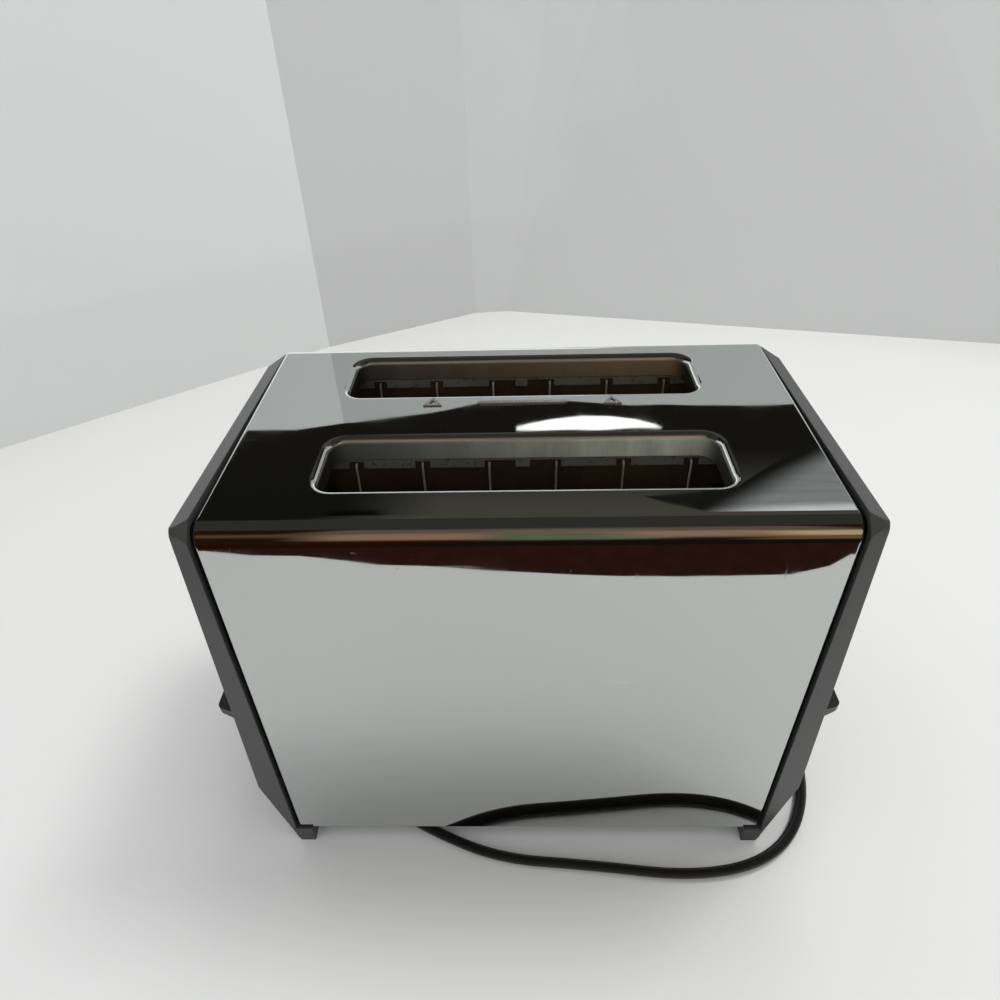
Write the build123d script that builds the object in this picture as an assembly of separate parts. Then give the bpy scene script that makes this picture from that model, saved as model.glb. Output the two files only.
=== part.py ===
from build123d import *
from math import atan2, cos, degrees, hypot, pi, radians, sin, tan
import os

# Two-slice pop-up toaster, in millimetres. +X is the lever end, +Y the back and +Z up.
# The origin is under the middle of the toaster, on the surface that its feet stand on.

# Chrome body shell
SHELL_HALF_LENGTH = 102.0
SHELL_HALF_DEPTH = 63.0
SHELL_BOTTOM = 10.0
SHELL_TOP = 183.0
SHEET = 0.8
TOP_EDGE_RADIUS = 7.0
END_ROLL_RADIUS = 1.2
RETURN_FLANGE = 6.0
SHELL_FIT = 0.3

# Bread slots: the throat is the straight opening below the rolled lip
THROAT_HALF_LENGTH = 68.3
THROAT_WIDTH = 30.0
THROAT_CORNER = 6.0
LIP_ROLL = 2.6
LIP_DEPTH = 9.2
FRONT_SLOT_Y = -27.2
SLOT_PITCH = 60.6
SLOTS = {"front": FRONT_SLOT_Y, "rear": FRONT_SLOT_Y + SLOT_PITCH}
MIDDLE_Y = FRONT_SLOT_Y + SLOT_PITCH / 2

# Raised ornament on the web between the slots
MARK_HEIGHT = 0.5
MARK_X = 34.0
MARK_FROM_REAR_LIP = 4.3
MARK_SIDE = 7.0
BAR_LENGTH = 34.0
BAR_WIDTH = 1.8

# Moulded end panels, whose bottom corners are the feet
PANEL_GAP = 1.0
PANEL_TOP = 184.5
PANEL_BACK_TOP = 181.0
PANEL_HALF_DEPTH = 64.0
PANEL_TOP_THICKNESS = 5.5
PANEL_WIDE_THICKNESS = 11.5
PANEL_WIDE_Z = 38.0
FOOT_INSET = 0.5
FOOT_THICKNESS = 6.5
FOOT_LENGTH = 18.0
PANEL_ARCH = 4.0
PANEL_DRAFT = 16.0
PANEL_CORNER = 2.4
PANEL_INSIDE_CORNER = 3.5
POCKET_CORNER = 4.0
FRONT_FACET = 5.5
BACK_FACET_INNER = 4.5
BACK_FACET_OUTER = 13.0
BACK_FACET_DROP = 7.0
PANEL_WALL = 3.0
RIM_WIDTH = 7.0
RECESS_DEPTH = 1.2
BOSS_RADIUS = 4.5
SCREW_ROWS = (52.0, 164.0)
SCREW_Y = 46.0
SCREW_RADIUS = 1.5
SCREW_HEAD_RADIUS = 3.0
SCREW_HEAD_DEPTH = 1.8

# Finger ledges on both ends
LEDGE_REACH = 12.5
LEDGE_TOP_Z = 75.0
LEDGE_TIP_HALF = 47.0
LEDGE_ROOT_HALF = 54.0
LEDGE_TIP_THICKNESS = 2.6
LEDGE_ROOT_THICKNESS = 8.0

# Bottom plate and crumb door
PLATE = 1.0
BASE_END_GAP = 1.2
DOOR_HALF_LENGTH = 72.0
DOOR_FRONT_Y = -48.5
HINGE_Y = 49.5
HINGE_Z = 8.8
KNUCKLE_RADIUS = 1.8
HINGE_PIN_RADIUS = 0.8
KNUCKLE_LENGTH = 16.0
KNUCKLE_X = 50.0
DOOR_OVERLAP = 4.0
DOOR_FRONT_OVERLAP = 10.5
DOOR_GAP = 0.2
STUD_RADIUS = 2.5
STUD_CLEARANCE = 0.7

# Inner end plates
WEB_X = 76.0
WEB_TOP = 168.0
FLANGE_END_GAP = 4.0
TAB_SIZE = 14.0

# Heating cards and guard wires, as distances outward from each throat wall
WIRE_OFFSET = -0.5
STRIP_OFFSET = 0.4
STRIP_SHEET = 0.6
CARD_SHEET = 0.8
CARD_HALF_LENGTH = 70.0
CARD_BOTTOM = 34.0
CARD_TOP = 173.0
EAR_HALF_LENGTH = 78.0
EAR_HEIGHT = 8.0
STRIP_BOTTOM = 169.5
STRIP_TOP = 173.4
NOTCH_HEIGHT = 3.0
NOTCH_WIDTH = 5.5
WIRE_RADIUS = 0.7
WIRE_SIDES = 6
WIRE_X = (12.2, 36.6, 61.0)
WIDE_NOTCH = (2.6, 14.0)
RAIL_HEIGHT = 5.0
RAIL_MARGIN = 1.0
RIBBON_TURNS = 10
RIBBON_WIDTH = 2.0
RIBBON_SHEET = 0.35
RIBBON_BOTTOM = 50.0
RIBBON_TOP = 160.0
BAFFLE_GAP = 5.0

# Bread carriage: it rests raised and slides down by its travel
CARRIAGE_TRAVEL = 62.0
RACK_TOP = 112.0
RACK_HEIGHT = 8.0
RACK_SHEET = 1.2
RACK_FINGERS = 7
FINGER_HALF_WIDTH = 10.5
CROSSBAR_X = 83.0
CROSSBAR_HALF = 34.0
ROD_X = 90.0
ROD_RADIUS = 2.0
ROD_TOP = 166.0
RUNNING_FIT = 0.05
BUSHING_RADIUS = 4.0
BUSHING_HEIGHT = 26.0
LEVER_Z = 150.0
LEVER_SHEET = 1.6
LEVER_HEIGHT = 8.0
LEVER_REACH = 6.5
KNOB_HALF_WIDTH = 13.0
KNOB_HEIGHT = 12.0
LEVER_SLOT_CLEARANCE = 1.4

# Lifting spring round the guide rod
SPRING_WIRE = 0.6
SPRING_RADIUS = 3.6
SPRING_TURNS = 6

# Browning control
CONTROL_Y = -24.0
CONTROL_Z = 50.0
CONTROL_SHAFT_RADIUS = 2.5
CONTROL_KNOB_RADIUS = 10.0
CONTROL_KNOB_GAP = 0.3
CONTROL_KNOB_LENGTH = 9.5
CONTROL_SHAFT_INNER_X = 87.0
CAM_X = 91.0
CAM_LENGTH = 4.0
CAM_RADIUS = 8.0
CAM_LOW_RADIUS = 5.0
CAM_CLEARANCE = 0.3

# Latch that holds the carriage down
LATCH_PIVOT = (26.0, 24.0)
LATCH_X = 86.5
LATCH_SHEET = 1.2
LATCH_PIN_RADIUS = 1.5

# Switch that the lowered carriage closes
SWITCH_END_X = 87.0
SWITCH_DEPTH = 9.0
SWITCH_HEIGHT = 14.0
SWITCH_CLEARANCE = 0.9
LEAF_HELD = 6.0
CONTACT_GAP = 0.3
CONTACT_RISE = 1.2

# Supply cord
CORD_RADIUS = 2.8
GLAND_X = (-94.0, -82.0)
GLAND_Y = -51.0
GLAND_HALF_WIDTH = 5.5
GLAND_BOTTOM = 1.0
CORD_EXIT_Z = 5.4
CORD_FLOOR_Z = CORD_RADIUS
PLUG_Z = 5.6
CORD_ROUTE = (
    (-82.0, -51.0, CORD_EXIT_Z),
    (-62.0, -51.0, CORD_EXIT_Z),
    (-43.0, -61.2, CORD_FLOOR_Z),
    (-12.0, -73.8, CORD_FLOOR_Z),
    (26.0, -76.4, CORD_FLOOR_Z),
    (73.0, -81.5, CORD_FLOOR_Z),
    (107.0, -74.0, CORD_FLOOR_Z),
    (127.0, -52.0, CORD_FLOOR_Z),
    (134.0, -18.0, CORD_FLOOR_Z),
    (136.0, 22.0, CORD_FLOOR_Z),
    (131.4, 64.0, CORD_FLOOR_Z),
    (131.4, 100.4, CORD_FLOOR_Z),
)

# Coil of spare cord behind the toaster: turns inwards, a climb, then turns outwards on top
COIL_OUTER_RADIUS = 35.4
COIL_GAP = 0.6
COIL_TURNS_IN = 1.5
COIL_TURNS_CLIMB = 0.5
COIL_TURNS_OUT = 1.25
COIL_STRAIGHT = 2 * CORD_RADIUS

# Tail of the cord, as steps from the coil's end to the plug on the surface
TAIL_STEPS = ((-15.0, 0.0), (-18.0, 2.5), (-18.0, 4.0), (-15.0, 0.5))
TAIL_DROPS = (0.0, 0.5, 0.5, 0.0)

PLUG_LENGTH = 26.0
PLUG_TAIL = 12.0
PLUG_FACE_WIDTH = 25.0
PLUG_THICKNESS = 11.0
BLADE_LENGTH = 17.5
BLADE_WIDTH = 6.35
BLADE_SHEET = 1.5
BLADE_PITCH = 12.7

# Terminal block and leads
TERMINAL_X = (-97.0, -86.0)
TERMINAL_Y = (-6.0, 26.0)
TERMINAL_HEIGHT = 12.0
LEAD_RADIUS = 1.2
LEAD_SIDES = 8

# Values worked out from those above
BASE_Z = SHELL_BOTTOM + SHEET
FLOOR_IN = BASE_Z + PLATE
PANEL_INNER_X = SHELL_HALF_LENGTH + PANEL_GAP
PANEL_TOP_X = PANEL_INNER_X + PANEL_TOP_THICKNESS
PANEL_WIDE_X = PANEL_INNER_X + PANEL_WIDE_THICKNESS
FOOT_OUTER_X = PANEL_INNER_X - FOOT_INSET
FOOT_INNER_X = FOOT_OUTER_X - FOOT_THICKNESS
LEDGE_TIP_X = PANEL_WIDE_X + LEDGE_REACH
FLANGE_END_X = SHELL_HALF_LENGTH - FLANGE_END_GAP
KNOB_INNER_X = PANEL_WIDE_X
LEVER_END_X = KNOB_INNER_X + LEVER_REACH
CONTROL_KNOB_X = PANEL_WIDE_X + CONTROL_KNOB_GAP
THROAT_HALF_WIDTH = THROAT_WIDTH / 2
LIP_BOTTOM = SHELL_TOP - LIP_DEPTH
SLIDE_DOWN = RACK_TOP - RACK_HEIGHT - CARRIAGE_TRAVEL
BASE_HALF_LENGTH = SHELL_HALF_LENGTH - SHEET - BASE_END_GAP
COIL_PITCH = 2 * CORD_RADIUS + COIL_GAP
COIL_TURNS = COIL_TURNS_IN + COIL_TURNS_CLIMB + COIL_TURNS_OUT
COIL_CENTRE = (CORD_ROUTE[-1][0] - COIL_OUTER_RADIUS, CORD_ROUTE[-1][1] + COIL_STRAIGHT)
STUD_Y = DOOR_FRONT_Y + DOOR_FRONT_OVERLAP / 2
INSIDE_Y = SHELL_HALF_DEPTH - SHEET - SHELL_FIT
SWITCH_FRONT_Y = INSIDE_Y - PLATE - SWITCH_CLEARANCE - SWITCH_DEPTH


def block(x, y, z):
    """A box between pairs of limits, in either order."""
    size = [abs(b - a) for a, b in (x, y, z)]
    middle = [(a + b) / 2 for a, b in (x, y, z)]
    return Pos(*middle) * Box(*size)


def rod_x(radius, x, y, z):
    return Pos((x[0] + x[1]) / 2, y, z) * Rot(0, 90, 0) * Cylinder(radius, abs(x[1] - x[0]))


def rod_y(radius, x, y, z):
    return Pos(x, (y[0] + y[1]) / 2, z) * Rot(90, 0, 0) * Cylinder(radius, abs(y[1] - y[0]))


def rod_z(radius, x, y, z):
    return Pos(x, y, (z[0] + z[1]) / 2) * Cylinder(radius, abs(z[1] - z[0]))


def plate_xz(points, y):
    """A flat plate with an outline in X and Z, between two Y limits."""
    outline = make_face(Polyline([(x, y[0], z) for x, z in points], close=True))
    return extrude(outline, y[1] - y[0], dir=(0, 1, 0))


def plate_yz(points, x):
    """A flat plate with an outline in Y and Z, between two X limits."""
    outline = make_face(Polyline([(x[0], y, z) for y, z in points], close=True))
    return extrude(outline, x[1] - x[0], dir=(1, 0, 0))


def group(solids):
    return Compound(children=list(solids))


def write(name, shape):
    export_step(shape, f"parts/{name}.step")


def shell_solid(inset):
    """The body's outer form, moved inwards by one sheet where inset is the sheet."""
    half = SHELL_HALF_DEPTH - inset
    top = SHELL_TOP - inset
    section = Plane.YZ * Pos(0, (SHELL_BOTTOM + top) / 2) * Rectangle(2 * half, top - SHELL_BOTTOM)
    length = SHELL_HALF_LENGTH - inset
    solid = extrude(section, length, both=True)
    corners = solid.edges().filter_by(Axis.X).group_by(Axis.Z)[-1]
    solid = fillet(corners, TOP_EDGE_RADIUS - inset)
    ends = [e for e in solid.edges() if abs(abs(e.center().X) - length) < 0.01]
    return fillet([e for e in ends if e.center().Z > SHELL_BOTTOM + 0.01], END_ROLL_RADIUS - inset)


def throat(y, grow, z):
    """A bread slot's straight opening, grown by a margin, between two heights."""
    outline = RectangleRounded(
        2 * (THROAT_HALF_LENGTH + grow), THROAT_WIDTH + 2 * grow, THROAT_CORNER + grow
    )
    return extrude(Plane.XY.offset(z[0]) * Pos(0, y) * outline, z[1] - z[0])


def rim_edges(solid, z, grow):
    """The edges round the slots at one height."""
    found = []
    for edge in solid.edges():
        middle = edge.center()
        near = any(abs(middle.Y - y) < THROAT_HALF_WIDTH + grow + 0.01 for y in SLOTS.values())
        if abs(middle.Z - z) < 0.01 and near and abs(middle.X) < THROAT_HALF_LENGTH + grow + 0.01:
            found.append(edge)
    return found


def web_marks():
    """Two raised triangles and a raised bar that mark one of the slots."""
    y = SLOTS["rear"] - THROAT_HALF_WIDTH - LIP_ROLL - MARK_FROM_REAR_LIP
    plane = Plane.XY.offset(SHELL_TOP - 0.2)
    height = MARK_HEIGHT + 0.2
    marks = []
    for x in (-MARK_X, MARK_X):
        outer = Triangle(a=MARK_SIDE, b=MARK_SIDE, c=MARK_SIDE)
        inner = Triangle(a=MARK_SIDE * 0.45, b=MARK_SIDE * 0.45, c=MARK_SIDE * 0.45)
        marks.append(extrude(plane * Pos(x, y) * (outer - inner), height))
    marks.append(extrude(plane * Pos(0, y) * SlotOverall(BAR_LENGTH, BAR_WIDTH), height))
    return marks


def chrome_shell():
    outside = shell_solid(0)
    cavity = shell_solid(SHEET)
    for y in SLOTS.values():
        outside -= throat(y, 0, (SHELL_BOTTOM, SHELL_TOP + 1))
        cavity -= throat(y, SHEET, (LIP_BOTTOM, SHELL_TOP))
    outside = fillet(rim_edges(outside, SHELL_TOP, 0), LIP_ROLL)
    cavity = fillet(rim_edges(cavity, SHELL_TOP - SHEET, SHEET), LIP_ROLL - SHEET)
    window = SHELL_HALF_DEPTH - RETURN_FLANGE
    window_top = SHELL_TOP - RETURN_FLANGE
    ends = block(
        (-SHELL_HALF_LENGTH - 1, SHELL_HALF_LENGTH + 1), (-window, window), (SHELL_BOTTOM - 1, window_top)
    )
    lips = [throat(y, SHEET, (LIP_BOTTOM, SHELL_TOP)) for y in SLOTS.values()]
    cavity -= block(
        (-SHELL_HALF_LENGTH, SHELL_HALF_LENGTH),
        (-SHELL_HALF_DEPTH, SHELL_HALF_DEPTH),
        (SHELL_BOTTOM - 1, BASE_Z),
    )
    shell = outside - cavity - (ends - lips)
    return shell + web_marks()


def panel_profile(inset):
    """The end panel's outline seen from the front, on the right-hand end."""
    lean = hypot(PANEL_WIDE_X - PANEL_TOP_X, PANEL_TOP - PANEL_WIDE_Z) / (PANEL_TOP - PANEL_WIDE_Z)
    run = hypot(PANEL_WIDE_X - FOOT_OUTER_X, PANEL_WIDE_Z) / PANEL_WIDE_Z
    top_x = PANEL_TOP_X - inset * lean
    wide_x = PANEL_WIDE_X - inset * lean
    foot_x = FOOT_OUTER_X - inset * run
    return top_x, wide_x, foot_x


def panel_envelope(inset):
    """Everything on the inner side of the panel's outer face, moved in by the inset."""
    top_x, wide_x, foot_x = panel_profile(inset)
    slope = (wide_x - top_x) / (PANEL_TOP - PANEL_WIDE_Z)
    over = 5.0
    rise = (wide_x - foot_x) / PANEL_WIDE_Z
    points = [
        (FOOT_INNER_X - 40, -over),
        (foot_x - over * rise, -over),
        (wide_x, PANEL_WIDE_Z),
        (top_x - over * slope, PANEL_TOP + over),
        (FOOT_INNER_X - 40, PANEL_TOP + over),
    ]
    return plate_xz(points, (-PANEL_HALF_DEPTH - over, PANEL_HALF_DEPTH + over))


def panel_top(y, inset=0.0):
    """The panel's top falls a little towards the back."""
    share = (y + PANEL_HALF_DEPTH) / (2 * PANEL_HALF_DEPTH)
    return PANEL_TOP + (PANEL_BACK_TOP - PANEL_TOP) * share - inset


def side_outline(inset, low, corner):
    """The panel seen from its end, moved in by the inset, from one height upwards."""
    half = PANEL_HALF_DEPTH - inset
    corners = [(-half, low), (half, low), (half, panel_top(half, inset)), (-half, panel_top(-half, inset))]
    outline = make_face(Polyline(corners, close=True))
    return fillet(outline.vertices(), corner)


def rim_prism(inset, corner):
    """The side outline as a solid, drafted towards the panel's outer face."""
    outline = Plane.YZ.offset(PANEL_INNER_X) * side_outline(inset, -PANEL_WIDE_Z, corner)
    return extrude(outline, PANEL_WIDE_X + 5 - PANEL_INNER_X, taper=PANEL_DRAFT)


def beyond(a, b, c):
    """The space beyond a plane through three points."""
    a, b, c = Vector(*a), Vector(*b), Vector(*c)
    away = (b - a).cross(c - a).normalized()
    return Plane(origin=a, z_dir=away) * Pos(0, 0, 15) * Box(60, 60, 30)


def panel_facets():
    """The flat cuts on the two top corners, wider at the front one's inner edge."""
    inward = tan(radians(PANEL_DRAFT)) * (PANEL_TOP_X - PANEL_INNER_X)
    edge = PANEL_HALF_DEPTH
    outer = edge - inward
    front_corner = (PANEL_TOP_X, -outer, panel_top(-outer, inward))
    front_top = (PANEL_INNER_X, FRONT_FACET - edge, panel_top(FRONT_FACET - edge))
    front_low = (PANEL_INNER_X, -edge, PANEL_TOP - FRONT_FACET)
    back_outer = (PANEL_TOP_X, edge - BACK_FACET_OUTER, panel_top(edge - BACK_FACET_OUTER, inward))
    back_inner = (PANEL_INNER_X, edge - BACK_FACET_INNER, panel_top(edge - BACK_FACET_INNER))
    back_low = (PANEL_TOP_X, outer, PANEL_BACK_TOP - BACK_FACET_DROP)
    return beyond(front_corner, front_top, front_low) + beyond(back_outer, back_low, back_inner)


def screw_places():
    return [(y, z) for y in (-SCREW_Y, SCREW_Y) for z in SCREW_ROWS]


def panel_face_x(z, inset=0.0):
    """Where the panel's outer face lies at one height."""
    top_x, wide_x, _ = panel_profile(inset)
    return top_x + (wide_x - top_x) * (PANEL_TOP - z) / (PANEL_TOP - PANEL_WIDE_Z)


def end_panel():
    """The right-hand end panel, before its own holes are cut."""
    far = PANEL_WIDE_X + 5
    body = (rim_prism(0, PANEL_CORNER) - panel_facets()) & panel_envelope(0)
    cavity = rim_prism(PANEL_WALL, PANEL_INSIDE_CORNER) & panel_envelope(PANEL_WALL)
    cavity &= block((0, far), (-200, 200), (SHELL_BOTTOM, 300))
    body -= cavity
    body &= block((0, far), (-200, 200), (0, 300))
    foot_profile = [
        (FOOT_INNER_X, 0),
        (FOOT_OUTER_X, 0),
        (FOOT_OUTER_X + 1, 1),
        (PANEL_INNER_X + 1, SHELL_BOTTOM - 0.3),
        (FOOT_INNER_X, SHELL_BOTTOM - 0.3),
    ]
    for side in (-1, 1):
        inner = side * (PANEL_HALF_DEPTH - FOOT_LENGTH)
        body += plate_xz(foot_profile, tuple(sorted((inner, side * PANEL_HALF_DEPTH)))) & panel_envelope(0)
    span = PANEL_HALF_DEPTH - FOOT_LENGTH
    body -= block((0, far), (-span, span), (-1, PANEL_ARCH))
    pocket = Plane.YZ.offset(PANEL_INNER_X) * side_outline(RIM_WIDTH, PANEL_WIDE_Z + RIM_WIDTH, POCKET_CORNER)
    body -= extrude(pocket, 30) - panel_envelope(RECESS_DEPTH)
    for y, z in screw_places():
        face = panel_face_x(z, RECESS_DEPTH)
        body += rod_x(BOSS_RADIUS, (FLANGE_END_X, face - 1), y, z)
        body -= rod_x(SCREW_RADIUS + 0.2, (FLANGE_END_X - 1, far), y, z)
        body -= rod_x(SCREW_HEAD_RADIUS + 0.2, (face - SCREW_HEAD_DEPTH, far), y, z)
    return body


def right_end_panel():
    body = end_panel()
    half = LEVER_SHEET / 2 + LEVER_SLOT_CLEARANCE
    low = LEVER_Z - LEVER_HEIGHT / 2 - CARRIAGE_TRAVEL - LEVER_SLOT_CLEARANCE
    high = LEVER_Z + LEVER_HEIGHT / 2 + LEVER_SLOT_CLEARANCE
    body -= block((PANEL_INNER_X, PANEL_WIDE_X + 5), (MIDDLE_Y - half, MIDDLE_Y + half), (low, high))
    hole = CONTROL_SHAFT_RADIUS + 0.5
    return body - rod_x(hole, (PANEL_INNER_X, PANEL_WIDE_X + 5), CONTROL_Y, CONTROL_Z)


def finger_ledge():
    """The wedge that the fingers go under to lift the right-hand end."""
    root_x = PANEL_INNER_X
    plan = make_face(
        Polyline(
            (root_x, -LEDGE_ROOT_HALF, 0),
            (LEDGE_TIP_X, -LEDGE_TIP_HALF, 0),
            (LEDGE_TIP_X, LEDGE_TIP_HALF, 0),
            (root_x, LEDGE_ROOT_HALF, 0),
            close=True,
        )
    )
    low = LEDGE_TOP_Z - LEDGE_ROOT_THICKNESS - 6
    wedge = extrude(Pos(0, 0, low) * plan, LEDGE_TOP_Z - low, dir=(0, 0, 1))
    wedge = fillet(wedge.edges().filter_by(Axis.Z).group_by(Axis.X)[-1], 3.0)
    face = panel_face_x(LEDGE_TOP_Z, RECESS_DEPTH)
    slope = (LEDGE_ROOT_THICKNESS - LEDGE_TIP_THICKNESS) / (LEDGE_TIP_X - face)
    under = [
        (root_x, low - 1),
        (root_x, LEDGE_TOP_Z - LEDGE_TIP_THICKNESS - slope * (LEDGE_TIP_X - root_x)),
        (LEDGE_TIP_X + 1, LEDGE_TOP_Z - LEDGE_TIP_THICKNESS + slope),
        (LEDGE_TIP_X + 1, low - 1),
    ]
    wedge -= plate_xz(under, (-LEDGE_ROOT_HALF - 1, LEDGE_ROOT_HALF + 1))
    return wedge - panel_envelope(RECESS_DEPTH)


def end_panel_screws():
    """Four screws through each end panel into the tabs of the inner end plates."""
    screws = []
    for side in (-1, 1):
        for y, z in screw_places():
            face = panel_face_x(z, RECESS_DEPTH)
            seat = face - SCREW_HEAD_DEPTH
            head = rod_x(SCREW_HEAD_RADIUS, (seat, seat + 1.4), y, z)
            shank = rod_x(SCREW_RADIUS, (FLANGE_END_X - 6, seat), y, z)
            cross = block((seat + 0.9, seat + 2), (y - 0.4, y + 0.4), (z - 2, z + 2))
            screw = head + shank - cross
            screws.append(screw if side > 0 else mirror(screw, Plane.YZ))
    return group(screws)


def base_plate():
    """The bottom sheet, with the crumb opening, vents, hinge knuckles and gland hole."""
    plate = block((-BASE_HALF_LENGTH, BASE_HALF_LENGTH), (-INSIDE_Y, INSIDE_Y), (BASE_Z, FLOOR_IN))
    opening = DOOR_HALF_LENGTH - DOOR_OVERLAP
    plate -= block(
        (-opening, opening), (DOOR_FRONT_Y + DOOR_FRONT_OVERLAP, HINGE_Y - 2 * DOOR_OVERLAP), (0, 50)
    )
    for x in (SHELL_HALF_LENGTH - 18, SHELL_HALF_LENGTH - 14):
        for y in (SHELL_HALF_DEPTH - 41, SHELL_HALF_DEPTH - 21):
            plate -= block((x, x + 2), (y, y + 14), (0, 50))
            plate -= block((-x - 2, -x), (y, y + 14), (0, 50))
    for x in (-KNUCKLE_X, KNUCKLE_X):
        span = (x - KNUCKLE_LENGTH / 2, x + KNUCKLE_LENGTH / 2)
        plate += rod_x(KNUCKLE_RADIUS, span, HINGE_Y, HINGE_Z)
        plate += block(span, (HINGE_Y, HINGE_Y + KNUCKLE_RADIUS), (HINGE_Z, BASE_Z + 0.5))
        plate -= rod_x(HINGE_PIN_RADIUS + RUNNING_FIT, (span[0] - 1, span[1] + 1), HINGE_Y, HINGE_Z)
    plate -= rod_z(STUD_RADIUS + STUD_CLEARANCE, 0, STUD_Y, (0, 50))
    gland_x = (GLAND_X[0] + 3, GLAND_X[1] - 3)
    return plate - block(gland_x, (GLAND_Y - 3, GLAND_Y + 3), (0, 50))


def crumb_door():
    """The hinged bottom door, with a folded front lip and its own hinge knuckles."""
    door_top = BASE_Z - DOOR_GAP
    front = DOOR_FRONT_Y
    door = block((-DOOR_HALF_LENGTH, DOOR_HALF_LENGTH), (front, HINGE_Y), (door_top - SHEET, door_top))
    door += block((-DOOR_HALF_LENGTH, DOOR_HALF_LENGTH), (front, front + SHEET), (door_top - 3, door_top))
    gap = KNUCKLE_LENGTH / 2 + 0.5
    for side in (-1, 1):
        near = side * (KNUCKLE_X - gap)
        far = side * (KNUCKLE_X + gap)
        end = side * DOOR_HALF_LENGTH
        door -= block(tuple(sorted((near, far))), (HINGE_Y - 2.6, HINGE_Y + 3), (0, 20))
        door += rod_x(KNUCKLE_RADIUS, tuple(sorted((far, end))), HINGE_Y, HINGE_Z)
    door += rod_x(KNUCKLE_RADIUS, (gap - KNUCKLE_X, KNUCKLE_X - gap), HINGE_Y, HINGE_Z)
    for x in (-36.0, 0.0, 36.0):
        door += block((x - 12, x + 12), (-30, 30), (door_top, door_top + 0.8))
        door -= block((x - 11.2, x + 11.2), (-29.2, 29.2), (door_top - SHEET - 1, door_top))
    door -= rod_z(STUD_RADIUS + RUNNING_FIT, 0, STUD_Y, (0, 20))
    bore = HINGE_PIN_RADIUS + RUNNING_FIT
    return door - rod_x(bore, (-DOOR_HALF_LENGTH - 1, DOOR_HALF_LENGTH + 1), HINGE_Y, HINGE_Z)


def crumb_door_stud():
    """The snap stud by which the door is pressed shut."""
    door_bottom = BASE_Z - DOOR_GAP - SHEET
    head = rod_z(STUD_RADIUS + 1.2, 0, STUD_Y, (door_bottom - 1.6, door_bottom))
    head = fillet(head.edges().group_by(Axis.Z)[0], 1.0)
    neck = rod_z(STUD_RADIUS, 0, STUD_Y, (door_bottom, FLOOR_IN + 3))
    return head + chamfer(neck.edges().group_by(Axis.Z)[-1], 1.0)


def end_plate():
    """The right-hand inner end plate, which carries the cards, racks and end panel."""
    outer_y = INSIDE_Y
    inner_y = outer_y - PLATE
    plate = block((WEB_X, WEB_X + PLATE), (-outer_y, outer_y), (FLOOR_IN, WEB_TOP))
    for side in (-1, 1):
        flange_y = tuple(sorted((side * inner_y, side * outer_y)))
        plate += block((WEB_X, FLANGE_END_X), flange_y, (FLOOR_IN + 12, WEB_TOP))
    for y, z in screw_places():
        edge = outer_y if y > 0 else -outer_y
        inner = y - TAB_SIZE / 2 if y > 0 else y + TAB_SIZE / 2
        tab_z = (z - TAB_SIZE / 2, min(z + TAB_SIZE / 2, WEB_TOP))
        plate += block((FLANGE_END_X - PLATE, FLANGE_END_X), tuple(sorted((inner, edge))), tab_z)
        plate -= rod_x(SCREW_RADIUS + 0.1, (FLANGE_END_X - 2, FLANGE_END_X + 1), y, z)
    plate += block((WEB_X, WEB_X + 14), (-40, -8), (FLOOR_IN, FLOOR_IN + PLATE))
    plate += block((WEB_X, WEB_X + 7), (12, 46), (FLOOR_IN, FLOOR_IN + PLATE))
    for y in SLOTS.values():
        plate -= block((WEB_X - 1, WEB_X + 2), (y - 3, y + 3), (SLIDE_DOWN - 2, RACK_TOP + 2))
    for y, _ in card_places():
        for z in (CARD_BOTTOM, RIBBON_TOP + 1):
            slit = (y - CARD_SHEET / 2 - 0.15, y + CARD_SHEET / 2 + 0.15)
            plate -= block((WEB_X - 1, WEB_X + 2), slit, (z - 0.15, z + EAR_HEIGHT + 0.15))
    for z in (130.0, 146.0):
        plate -= block((WEB_X - 1, WEB_X + 2), (MIDDLE_Y - 5, MIDDLE_Y + 5), (z, z + 8))
    return plate


def card_places():
    """The middle Y of each heating card, and the way from its slot to the card."""
    places = []
    for y in SLOTS.values():
        for way in (-1, 1):
            places.append((y + way * (THROAT_HALF_WIDTH + STRIP_OFFSET + STRIP_SHEET + CARD_SHEET / 2), way))
    return places


def card_names():
    return ["front_outer", "front_inner", "rear_inner", "rear_outer"]


def heating_card(y):
    """One mica card, with ears that hang in slits in the inner end plates."""
    sheet = (y - CARD_SHEET / 2, y + CARD_SHEET / 2)
    card = block((-CARD_HALF_LENGTH, CARD_HALF_LENGTH), sheet, (CARD_BOTTOM, CARD_TOP))
    for z in (CARD_BOTTOM, RIBBON_TOP + 1):
        card += block((-EAR_HALF_LENGTH, EAR_HALF_LENGTH), sheet, (z, z + EAR_HEIGHT))
    pitch = (RIBBON_TOP - RIBBON_BOTTOM) / RIBBON_TURNS
    for turn in range(RIBBON_TURNS):
        z = RIBBON_BOTTOM + pitch * turn
        for side in (-1, 1):
            rise = pitch / 2 if side > 0 else 0
            notch = tuple(sorted((side * (CARD_HALF_LENGTH - 2), side * (CARD_HALF_LENGTH + 1))))
            card -= block(notch, sheet, (z + rise - 0.2, z + rise + RIBBON_WIDTH + 0.2))
    return card


def ribbon_run(x, z_start, z_end, y):
    """One straight stretch of flat ribbon across a face of the card."""
    points = [
        (x[0], z_start),
        (x[1], z_end),
        (x[1], z_end + RIBBON_WIDTH),
        (x[0], z_start + RIBBON_WIDTH),
    ]
    return plate_xz(points, y)


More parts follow.
